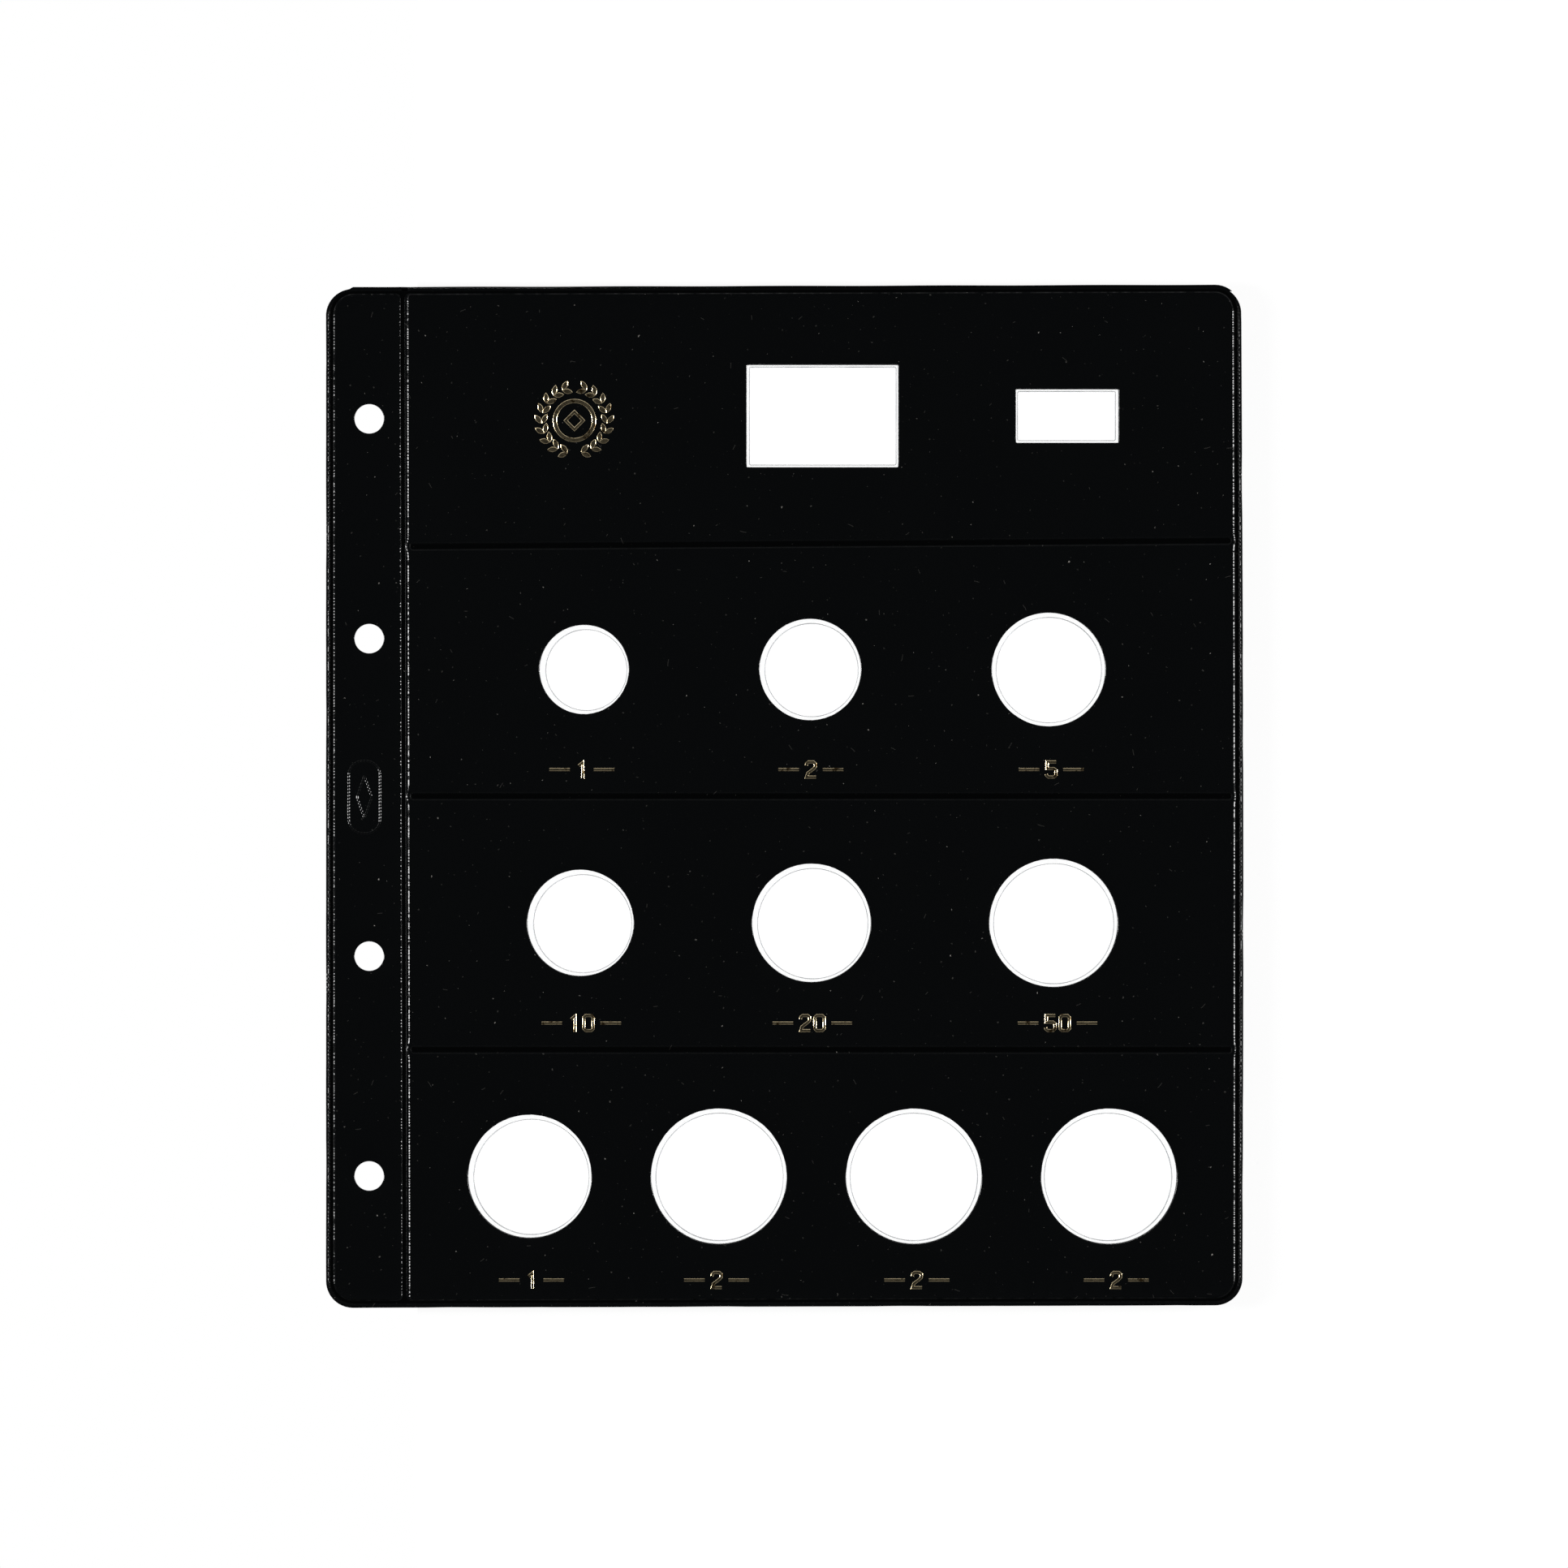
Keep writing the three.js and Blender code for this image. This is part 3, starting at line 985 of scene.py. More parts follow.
@dataclass(frozen=True)
class PunchedEdge(Finish):
    """Edge of clear plastic where a punch went through: frosted and darker."""

    colour: Place = (0.2, 0.22, 0.24)
    cover: Point = (0.45, 0.8)
    gloss: Point = (0.45, 0.3)
    grain_strength: float = 0.3
    grain_depth: float = 0.00003

    def make(self) -> bpy.types.Material:
        """Builds the material.

        Returns:
            The material.
        """
        material, graph, shader, where = self.start()
        clouds = self.effect(graph, GROUPS.clouds(), where, {"Clouds": 160.0})
        grain = self.effect(graph, GROUPS.grain(), where, {"Grains": 2500.0})
        links = graph.tree.links
        links.new(graph.ranged(clouds, (0.0, 1.0), self.cover), shader.inputs["Alpha"])
        links.new(graph.ranged(clouds, (0.0, 1.0), self.gloss), shader.inputs["Roughness"])
        normal = self.bump(graph, grain, self.grain_strength, self.grain_depth)
        links.new(normal, shader.inputs["Normal"])
        shader.inputs["Base Color"].default_value = (*self.colour, 1.0)
        return material


@dataclass(frozen=True)
class GoldFoil(Finish):
    """Hot-stamped gold foil, worn through here and there."""

    colour: Place = (0.96, 0.8, 0.5)
    worn: Place = (0.12, 0.075, 0.03)
    wear_span: Point = (0.62, 0.9)
    gloss: Point = (0.2, 0.32)
    grain_strength: float = 0.3
    grain_depth: float = 0.00004

    def make(self) -> bpy.types.Material:
        """Builds the material.

        Returns:
            The material.
        """
        material, graph, shader, where = self.start()
        grain = self.effect(graph, GROUPS.grain(), where, {"Grains": 2600.0, "Fineness": 0.8})
        clouds = self.effect(graph, GROUPS.clouds(), where, {"Clouds": 900.0})
        wear = graph.ranged(clouds, self.wear_span, (0.0, 1.0))
        links = graph.tree.links
        links.new(graph.mixed(wear, (*self.colour, 1.0), (*self.worn, 1.0)), shader.inputs["Base Color"])
        links.new(graph.ranged(clouds, (0.0, 1.0), self.gloss), shader.inputs["Roughness"])
        normal = self.bump(graph, grain, self.grain_strength, self.grain_depth)
        links.new(normal, shader.inputs["Normal"])
        shader.inputs["Metallic"].default_value = 1.0
        return material


# Front sheet


@dataclass(frozen=True)
class ProfileStep:
    """One line along a weld's edge: its place outside the edge, its level and how lumpy it is."""

    out: float
    level: float
    lump: float = 0.0

    def towards(self, other: "ProfileStep", share: float) -> "ProfileStep":
        """A line that lies between this one and another.

        Args:
            other: The other line.
            share: How far on the way to it.

        Returns:
            The line between.
        """
        out = self.out + (other.out - self.out) * share
        level = self.level + (other.level - self.level) * share
        return ProfileStep(out, level, self.lump)


def profile(*steps: tuple[float, ...]) -> tuple[ProfileStep, ...]:
    """Turns rows of out, level and, where a line is lumpy, lump into steps."""
    return tuple(ProfileStep(*step) for step in steps)


def bend_with_fold(piece: bpy.types.Object) -> None:
    """Bakes a sheet's placement into its mesh.

    Args:
        piece: The sheet.
    """
    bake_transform(piece)


@dataclass(frozen=True)
class Bead:
    """A bead's lumps: how low they are in quiet stretches, how many are long and how deep the dips are."""

    fade: float
    long: float
    dip: float
    rise: float = 0.25
    low_depth: float = 0.4
    low_share: float = 0.18
    dip_spread: float = 0.4
    quiet: Point = (9.1, 27.0)
    phases: float = 100.0


@dataclass
class FrontSheet:
    """The black front sheet with its welds, beads, windows and ring holes, in one piece across the fold."""

    plan: PagePlan
    spacing: float = 0.6
    bead_spacing: float = 0.2
    grid_step: float = 4.0
    top_setback: float = 0.38
    shoulder: tuple[ProfileStep, ...] = profile(
        (0.17, -0.2),
        (0.1, -0.2),
        (0.08, -0.15),
        (0.07, -0.13),
        (0.06, -0.1),
        (0.04, -0.06),
        (-0.17, 0.052, 1.0),
        (-0.32, 0.055, 0.4),
        (-0.42, 0.042),
        (-0.5, 0.03),
    )
    fold_shelf: tuple[ProfileStep, ...] = profile(
        (0.62, -0.2),
        (0.55, -0.2),
        (0.52, -0.14),
        (0.49, -0.13),
        (0.05, -0.105),
    )
    margin_ridge: ProfileStep = ProfileStep(-0.1, 0.022, 1.0)
    ridge_number: int = 6
    shoulder_facets: tuple[int, ...] = (1, 2, 3, 4, 5, 6, 7)
    lip: tuple[ProfileStep, ...] = profile(
        (-0.9, -0.2),
        (-0.85, -0.2),
        (-0.77, -0.168, 0.26),
        (-0.7, -0.147),
        (-0.66, -0.03),
        (-0.5, -0.005, 0.15),
        (-0.42, -0.034, 0.36),
        (-0.22, -0.09, 0.2),
        (-0.06, -0.13),
        (0.0, -0.14),
        (0.0, -0.4),
    )
    lip_facets: tuple[int, ...] = (1, 2, 3, 4, 5, 6, 7, 8)
    row_edge: tuple[ProfileStep, ...] = profile(
        (0.36, 0.0),
        (0.26, 0.015, 0.1),
        (0.02, -0.085),
        (-0.02, -0.2),
        (-0.1, -0.2),
    )
    row_facets: tuple[int, ...] = (1, 2, 3)
    row_ends: Point = (0.56, 0.69)
    bulges: Point = (0.4, 0.2)
    shelf_foot: int = 4
    margin_bead: Bead = Bead(0.22, 0.6, 0.35)
    pocket_bead: Bead = Bead(0.1, 0.5, 0.12)
    lip_bead: Bead = Bead(0.0, 0.9, 0.4)
    window_edge: tuple[ProfileStep, ...] = profile(
        (0.16, 0.0),
        (0.05, -0.03),
        (0.0, -0.1),
    )
    lump_height: float = 0.08
    lump_lean: float = 0.3
    bulge_dim: float = 0.5
    bulge_half: float = 1.1
    upright: float = 0.9
    rag: float = 0.05
    row_corner: float = 0.5
    row_spacing: float = 0.8
    lip_spacing: float = 0.26
    lip_strays: tuple[Place, ...] = ((0.04, 7.3, 0.0), (0.03, 2.9, 1.0))
    stray_from: float = -0.2
    setback_from: float = -0.5
    fold_fade: float = 0.5
    fold_steps: int = 40
    fold_inset: float = 1.6
    fold_shifts: tuple[float, ...] = (-0.5, -0.3, -0.1, 0.05)
    spare_room: float = 1.0
    window_room: float = 1.2
    weld_room: float = 1.8
    corner_room: float = 3.0
    seed: int = 11
    sharp: float = 75.0
    under: list[list[Point]] = field(default_factory=list)

    def fold_points(self) -> list[Point]:
        """Extra points in a band along the fold line.

        Returns:
            The points.
        """
        plan = self.plan
        points: list[Point] = []
        for step in range(-self.fold_steps, self.fold_steps + 1):
            y = (plan.top - self.fold_inset) * step / self.fold_steps
            points.extend((plan.fold_x + shift, y) for shift in self.fold_shifts)
        return points

    def lumps(self, outline: Sequence[Station], bead: Bead, dice: random.Random) -> list[float]:
        """Unevenness of a bead: short lumps with dips between them.

        Args:
            outline: Outline that the bead follows.
            bead: How its lumps are.
            dice: Source of the unevenness.

        Returns:
            The unevenness at each station.
        """
        shift = dice.random() * bead.phases
        lumps: list[float] = []
        while len(lumps) < len(outline):
            run = outline[len(lumps)].run
            quiet = 0.5 + 0.5 * math.sin(run / bead.quiet[0] + shift) * math.sin(run / bead.quiet[1] + shift)
            lump = bead.rise * dice.random() - bead.fade * quiet
            lump -= bead.low_depth if dice.random() < bead.low_share else 0.0
            lumps.extend([lump] * (2 if dice.random() < bead.long else 1))
            gap = 1 if dice.random() < 0.5 + bead.long / 2 else 2
            lumps.extend(-bead.dip - bead.dip_spread * dice.random() for _ in range(gap))
        return lumps[: len(outline)]

    def bulge(self, station: Station) -> float:
        """How far the shoulder of the pockets is pushed out where a row weld ends at it.

        Args:
            station: Place on the shoulder.

        Returns:
            The way out in millimetres.
        """
        if abs(station.out_x) < self.upright:
            return 0.0
        reach = self.bulges[station.out_x > 0]
        shares = [(station.y - weld(station.x)) / self.bulge_half for weld in self.plan.row_welds]
        return sum(reach * math.exp(-(share**2)) for share in shares)

    def ring(
        self, outline: Sequence[Station], lumps: Sequence[float], number: int, pockets: bool
    ) -> list[Place]:
        """One line along the edge of a raised land.

        Args:
            outline: Outline of the land.
            lumps: Unevenness at each station.
            number: Number of the line in the shoulder's profile.
            pockets: Whether the land is the one of the pockets, whose left side has a shelf by the fold.

        Returns:
            The points of the line.
        """
        top = self.plan.front_top
        step = self.margin_ridge if number == self.ridge_number and not pockets else self.shoulder[number]
        shelf = self.fold_shelf[number] if number < len(self.fold_shelf) else None
        places = []
        for station, lump in zip(outline, lumps):
            here = step
            push = 0.0
            if pockets:
                if number >= self.shelf_foot or station.out_x > 0:
                    push = self.bulge(station)
                if shelf is not None:
                    here = step.towards(shelf, max(0.0, -station.out_x) ** 2)
            uneven = self.lump_height * here.lump * (lump - self.bulge_dim * push)
            x, y = station.moved(here.out + push + self.lump_lean * uneven)
            if number == len(self.shoulder) - 1:
                places.append((x, y, self.plan.front_height(x, y)))
            else:
                places.append((x, y, top + here.level + uneven))
        return places

    def land(
        self,
        skin: Skin,
        outline: Sequence[Station],
        windows: Sequence[Opening],
        pockets: bool,
        dice: random.Random,
    ) -> list[Point]:
        """Adds one raised land with its bead, its windows and, on the pockets, its row welds.

        Args:
            skin: The skin of the sheet.
            outline: Outline of the land.
            windows: Openings in the land.
            pockets: Whether the land is the one of the pockets.
            dice: Source of the bead's unevenness.

        Returns:
            The loop where the land meets the weld round it.
        """
        plan = self.plan
        lumps = self.lumps(outline, self.pocket_bead if pockets else self.margin_bead, dice)
        rings = [self.ring(outline, lumps, number, pockets) for number in range(len(self.shoulder))]
        skin.bands(rings, flat=self.shoulder_facets)
        inner = [(x, y) for x, y, _ in rings[-1]]
        holes = [self.window(skin, window, dice) for window in windows]
        if pockets:
            holes.extend(self.row_weld(skin, weld, dice) for weld in plan.row_welds)
        across, along = zip(*inner)
        room = self.spare_room
        sides = (min(across) + room, min(along) + room, max(across) - room, max(along) - room)
        spares = [point for point in grid(sides, self.grid_step) if self.is_clear(point, windows)]
        skin.fill(inner, holes, plan.front_height, spares)
        return [(x, y) for x, y, _ in rings[0]]

    def is_clear(self, point: Point, windows: Sequence[Opening]) -> bool:
        """Whether a point keeps clear of the windows, the row welds and the page's round corners.

        Args:
            point: The point.
            windows: Openings in the land.

        Returns:
            True if it is clear.
        """
        plan = self.plan
        x, y = point
        if any(window.near(x, y, self.window_room) for window in windows):
            return False
        if x > plan.fold_x and any(abs(y - weld(x)) < self.weld_room for weld in plan.row_welds):
            return False
        reach_x = abs(x) - (plan.right - plan.corner)
        reach_y = abs(y) - (plan.top - plan.corner)
        return reach_x < 0 or reach_y < 0 or math.hypot(reach_x, reach_y) < plan.corner - self.corner_room

    def row_weld(self, skin: Skin, weld: RowWeld, dice: random.Random) -> list[Point]:
        """Adds one row weld, a pressed groove from shoulder to shoulder.

        Args:
            skin: The skin of the sheet.
            weld: The line of the weld.
            dice: Source of the edge's unevenness.

        Returns:
            The loop where the groove meets the land.
        """
        plan = self.plan
        half = plan.row_weld / 2
        left = plan.fold_right - plan.fold_lean * weld(plan.fold_right)
        right = plan.right - plan.lip - plan.rim_weld
        right -= plan.rim_lean * max(0.0, weld(right))
        sides = (left + self.row_ends[0], -half, right - self.row_ends[1], half)
        outline = rounded_outline(sides, [self.row_corner] * 4, self.row_spacing)
        lumps = [dice.random() for _ in outline]
        rings = []
        for step in self.row_edge:
            ring = []
            for station, lump in zip(outline, lumps):
                x, y = station.moved(step.out)
                y += weld(x)
                level = step.level + self.lump_height * step.lump * lump
                ring.append((x, y, (plan.front_top if rings else plan.front_height(x, y)) + level))
            rings.append(ring)
        skin.bands(rings, flat=self.row_facets)
        floor = [(x, y) for x, y, _ in rings[-1]]
        # Finish 1 on the groove's floor is darker in colour: painted shade.
        skin.fill(floor, [], lambda x, y: plan.weld_top, finish=1)
        return [(x, y) for x, y, _ in rings[0]]

    def ragged(self, opening: Opening, dice: random.Random) -> list[Station]:
        """Stations round an opening whose punched edge is a little ragged.

        Args:
            opening: The opening.
            dice: Source of the ragged edge.

        Returns:
            The stations.
        """
        ragged = []
        for station in opening.outline():
            nick = self.rag * (dice.random() - 0.5) if opening.ragged else 0.0
            x, y = station.moved(nick)
            ragged.append(Station(x, y, station.out_x, station.out_y, station.run))
        return ragged

    def window(self, skin: Skin, opening: Opening, dice: random.Random) -> list[Point]:
        """Adds the edge of an opening, from the front face to the back of the sheet.

        Args:
            skin: The skin of the sheet.
            opening: The opening.
            dice: Source of the ragged edge.

        Returns:
            The loop where the edge meets the front face.
        """
        plan = self.plan
        stations = self.ragged(opening, dice)
        rings = []
        for step in self.window_edge:
            spots = [station.moved(step.out) for station in stations]
            rings.append([(x, y, plan.front_height(x, y) + step.level) for x, y in spots])
        rings.append([(station.x, station.y, plan.front_low) for station in stations])
        skin.bands(rings)
        self.under.append([(station.x, station.y) for station in stations])
        return [(x, y) for x, y, _ in rings[0]]

    def stray(self, run: float) -> float:
        """How far the lip's edge strays at a place along it."""
        return sum(part * math.sin(run / wave + shift) for part, wave, shift in self.lip_strays)

    def edge(self, skin: Skin, dice: random.Random) -> tuple[list[Point], list[Point]]:
        """Adds the lip round the page.

        Args:
            skin: The skin of the sheet.
            dice: Source of the lip's unevenness.

        Returns:
            The loop where the lip meets the rim weld, and the loop of the page's edge.
        """
        plan = self.plan
        outline = plan.page(self.spacing, self.lip_spacing)
        lumps = self.lumps(outline, self.lip_bead, dice)
        weld_level = plan.weld_top - plan.front_top
        fold_half = plan.fold_weld / 2
        rings = []
        for step in self.lip:
            ring = []
            for station, lump in zip(outline, lumps):
                inward = min(0.0, self.stray(station.run)) if step.out > self.stray_from else 0.0
                setback = self.top_setback * max(0.0, station.out_y) if step.out > self.setback_from else 0.0
                x, y = station.moved(step.out + inward - setback)
                level = step.level + self.lump_height * step.lump * lump
                beside_fold = smooth_step(fold_half, fold_half + self.fold_fade, abs(x - plan.fold_x))
                if level > weld_level:
                    level = weld_level + (level - weld_level) * beside_fold
                ring.append((x, y, plan.front_top + level))
            rings.append(ring)
        skin.bands(rings, flat=self.lip_facets)
        return [(x, y) for x, y, _ in rings[0]], [(x, y) for x, y, _ in rings[-1]]

    def build(self) -> bpy.types.Object:
        """Builds the sheet's mesh.

        Returns:
            The sheet.
        """
        plan = self.plan
        dice = random.Random(self.seed)
        skin = Skin()
        windows = [window for row in Row for window in plan.openings(row, False)]
        margin = plan.margin_land(self.spacing, self.bead_spacing)
        pockets = plan.pocket_land(self.spacing, self.bead_spacing)
        feet = [
            self.land(skin, margin, plan.ring_holes(), False, dice),
            self.land(skin, pockets, windows, True, dice),
        ]
        rim, edge = self.edge(skin, dice)
        # Finish 1 on the rim and fold welds' floors is darker in colour: painted shade.
        skin.fill(rim, feet, lambda x, y: plan.weld_top, self.fold_points(), finish=1)
        skin.fill(edge, self.under, lambda x, y: plan.front_low, self.fold_points())
        return skin.to_object("front_sheet", self.sharp)

    def dress(
        self, piece: bpy.types.Object, vinyl: bpy.types.Material, pressed_and_shaded: bpy.types.Material
    ) -> None:
        """Gives the sheet its finishes and bakes its placement into its mesh.

        Args:
            piece: The sheet.
            vinyl: Finish of the sheet.
            pressed_and_shaded: Finish of the welds' floors.
        """
        piece.data.materials.append(vinyl)
        # The welds' floors take the second finish, whose darker colour is painted shade in the grooves.
        piece.data.materials.append(pressed_and_shaded)
        bend_with_fold(piece)
        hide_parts("front_margin", "front_panel")


# Back sheet


@dataclass
class BackSheet:
    """The black back sheet, formed into four pockets, in one piece across the fold."""

    plan: PagePlan
    thickness: float = 0.4
    flange: float = 2.45
    margin: float = 2.95
    floor_half: float = 25.0
    floor_left: float = -75.95
    pocket_corner: float = 2.05
    mouth_x: float = 91.35
    mouth_half: float = 25.55
    thumb_radius: float = 9.0
    fold_end: float = -76.7
    spacing: float = 1.0
    corner_steps: int = 8
    thumb_steps: int = 32
    mouth_overrun: float = 2.0
    edge_spacing: float = 0.8
    shy: float = 0.4
    shy_span: Point = (-89.2, -88.2)
    bump: float = 0.3
    bump_y: float = -98.8
    bump_half: float = 1.1
    stray: float = 0.03
    stray_wave: float = 5.1
    bend_steps: int = 40
    bend_places: int = 6
    bend_inset: float = 0.8
    sharp: float = 50.0
    wall_profile: tuple[tuple[float, float], ...] = (
        (0.52, 2.45),
        (0.44, 2.43),
        (0.37, 2.3),
        (0.05, 0.34),
        (0.0, 0.16),
        (-0.12, 0.04),
        (-0.32, 0.0),
    )

    def level(self, x: float, y: float) -> float:
        """Level of the flat part of the sheet's back face, which steps down across the fold."""
        share = smooth_step(self.plan.fold_left, self.fold_end, x)
        return self.margin + (self.flange - self.margin) * share

    def pocket(self, row: Row) -> list[Station]:
        """Edge of a pocket's floor from one end of its mouth round to the other, with ways out.

        Args:
            row: The row that the pocket is for.

        Returns:
            The stations.
        """
        middle = self.plan.row_middle(row)
        low, high = middle - self.floor_half, middle + self.floor_half
        radius = self.pocket_corner
        corners = ((self.floor_left + radius, high - radius), (self.floor_left + radius, low + radius))
        marks: list[Mark] = []
        steps = math.ceil((self.mouth_x - corners[0][0]) / self.spacing)
        for step in range(steps):
            marks.append((self.mouth_x + (corners[0][0] - self.mouth_x) * step / steps, high, 0.0, 1.0))
        for turn, (x, y) in enumerate(corners):
            for step in range(self.corner_steps + 1):
                angle = math.pi / 2 * (1 + turn + step / self.corner_steps)
                out = (math.cos(angle), math.sin(angle))
                marks.append((x + radius * out[0], y + radius * out[1], *out))
            if turn == 0:
                side = math.ceil((corners[0][1] - corners[1][1]) / self.spacing)
                for step in range(1, side):
                    y_here = corners[0][1] + (corners[1][1] - corners[0][1]) * step / side
                    marks.append((self.floor_left, y_here, -1.0, 0.0))
        for step in range(1, steps + 1):
            marks.append((corners[1][0] + (self.mouth_x - corners[1][0]) * step / steps, low, 0.0, -1.0))
        return with_runs(marks)

    def notch(self, middle: float) -> list[Point]:
        """Points of the thumb notch in a pocket's mouth, from the low end to the high end.

        Args:
            middle: Middle of the pocket.

        Returns:
            The points.
        """
        points: list[Point] = []
        for step in range(self.thumb_steps + 1):
            angle = math.pi * (1.5 - step / self.thumb_steps)
            reach = (self.thumb_radius * math.cos(angle), self.thumb_radius * math.sin(angle))
            points.append((self.mouth_x + reach[0], middle + reach[1]))
        return points

    def build(self) -> bpy.types.Object:
        """Builds the sheet's mesh: its back face first, and then its thickness.

        Returns:
            The sheet.
        """
        plan = self.plan
        skin = Skin()
        pockets: list[list[Point]] = []
        for row in Row:
            middle = plan.row_middle(row)
            stations = self.pocket(row)
            rings = []
            for out, level in self.wall_profile:
                rings.append([(*station.moved(out), level) for station in stations])
            skin.bands(rings, closed=False)
            floor = [(x, y) for x, y, _ in rings[-1]]
            loop = [*floor, *self.notch(middle)]
            holes = [[(s.x, s.y) for s in opening.outline()] for opening in plan.openings(row, False)]
            skin.fill(loop, holes, lambda x, y: 0.0)
            top = [(x, y) for x, y, _ in rings[0]]
            right = plan.right + self.mouth_overrun
            half = self.mouth_half
            low, high = middle - half, middle + half
            mouth = [(self.mouth_x, low), (right, low), (right, high), (self.mouth_x, high)]
            pockets.append([*top, *mouth])
        rings = [[(s.x, s.y) for s in hole.outline()] for hole in plan.ring_holes()]
        edge = self.edge()
        skin.fill(edge, [*pockets, *rings], self.level, self.bend_points())
        piece = skin.to_object("back_sheet", self.sharp, closed=False)
        self.thicken(piece)
        return piece

    def edge(self) -> list[Point]:
        """The sheet's outline, which shows a little past the front sheet at the top.

        Returns:
            The points of the closed outline.
        """
        plan = self.plan
        points: list[Point] = []
        for station in plan.page(self.edge_spacing):
            shy = self.shy * max(0.0, station.out_y) * (1 - smooth_step(*self.shy_span, station.x))
            near = math.exp(-(((station.y - self.bump_y) / self.bump_half) ** 2))
            bump = self.bump * max(0.0, station.out_x) * near
            stray = self.stray * math.sin(station.run / self.stray_wave) + bump
            points.append(station.moved(stray - shy))
        return points

    def bend_points(self) -> list[Point]:
        """Extra points in a band across the fold.

        Returns:
            The points.
        """
        plan = self.plan
        points: list[Point] = []
        for step in range(-self.bend_steps, self.bend_steps + 1):
            y = (plan.top - self.bend_inset) * step / self.bend_steps
            for place in range(self.bend_places + 1):
                x = plan.fold_left + (self.fold_end - plan.fold_left) * place / self.bend_places
                points.append((x, y))
        return points

    def thicken(self, piece: bpy.types.Object) -> None:
        """Turns the back face outwards and gives the sheet its thickness.

        Args:
            piece: The sheet as a single skin.
        """
        work = bmesh.new()
        work.from_mesh(piece.data)
        bmesh.ops.recalc_face_normals(work, faces=work.faces)
        lowest = sum(face.normal.z * face.calc_area() for face in work.faces)
        if lowest > 0:
            bmesh.ops.reverse_faces(work, faces=work.faces)
        work.to_mesh(piece.data)
        work.free()
        solid = piece.modifiers.new("thickness", "SOLIDIFY")
        solid.thickness = self.thickness * MM
        solid.offset = -1.0
        solid.use_even_offset = True
        mesh = plain_mesh(piece)
        piece.modifiers.remove(solid)
        piece.data = mesh
        finish_shading(mesh, self.sharp)

    def dress(self, piece: bpy.types.Object, vinyl: bpy.types.Material) -> None:
        """Gives the sheet its finish and bakes its placement into its mesh.

        Args:
            piece: The sheet.
            vinyl: Finish of the sheet.
        """
        piece.data.materials.append(vinyl)
        bend_with_fold(piece)
        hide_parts("back_margin", "back_panel")


# Coin strips


@dataclass
class CoinStrip:
    """One clear pull-out strip with its punched cells."""

    plan: PagePlan
    row: Row
    left: float = -75.1
    right: float = 91.05
    half: float = 24.15
    corner: float = 2.0
    low: float = 0.8
    high: float = 3.0
    chamfer: float = 0.14
    burr: float = 0.15
    spacing: float = 2.0
    sharp: float = 30.0
    cell_pitch: float = 0.996
    cell_shift: dict[Row, Point] = field(
        default_factory=lambda: {
            Row.INSERTS: (0.1, 0.03),
            Row.UPPER: (0.29, -0.12),
            Row.MIDDLE: (0.29, -0.18),
            Row.LOWER: (0.1, -0.17),
        }
    )

    def cells(self) -> list[Opening]:
        """The punched cells, which lie a little out of register with the windows.

        Returns:
            The cells from left to right.
        """
        shift_x, shift_y = self.cell_shift[self.row]
        return [
            replace(cell, x=cell.x * self.cell_pitch + shift_x, y=cell.y + shift_y)
            for cell in self.plan.openings(self.row, True)
        ]

    def build(self) -> bpy.types.Object:
        """Builds the strip's mesh, with the punched edges in their own finish.

        Returns:
            The strip.
        """
        middle = self.plan.row_middle(self.row)
        skin = Skin()
        sides = (self.left, middle - self.half, self.right, middle + self.half)
        bar = rounded_outline(sides, [self.corner] * 4, self.spacing)
        bevel = (
            (-self.chamfer, self.low),
            (0.0, self.low + self.chamfer),
            (0.0, self.high - self.chamfer),
            (-self.chamfer, self.high),
        )
        punched = (
            (-self.burr, self.low),
            (-self.burr, self.low + self.burr / 3),
            (0.0, self.low + self.burr * 4 / 3),
            (0.0, self.high),
        )
        low_outer, high_outer = self.wall(skin, bar, bevel)
        walls = [self.wall(skin, cell.outline(), punched) for cell in self.cells()]
        skin.fill(low_outer, [low for low, _ in walls], lambda x, y: self.low)
        skin.fill(high_outer, [high for _, high in walls], lambda x, y: self.high)
        return skin.to_object(f"{self.row.value}_clear", self.sharp)

    def wall(
        self, skin: Skin, outline: Sequence[Station], profile: Sequence[Point]
    ) -> tuple[list[Point], list[Point]]:
        """Adds an upright edge.

        Args:
            skin: The skin of the strip.
            outline: Outline of the edge.
            profile: Places outside the outline and their levels, from the low face to the high face.

        Returns:
            The loops where the edge meets the low face and the high face.
        """
        skin.bands([[(*station.moved(out), level) for station in outline] for out, level in profile], 1)
        low, high = profile[0][0], profile[-1][0]
        return [station.moved(low) for station in outline], [station.moved(high) for station in outline]

    def dress(self, piece: bpy.types.Object, clear: bpy.types.Material, edge: bpy.types.Material) -> None:
        """Gives the strip its finishes and sets it on its slide.

        Args:
            piece: The strip.
            clear: Finish of its faces.
            edge: Finish of its punched edges.
        """
        piece.data.materials.append(clear)
        piece.data.materials.append(edge)
        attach(piece, self.row.value)
        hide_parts(self.row.value)


# Foil print and emboss


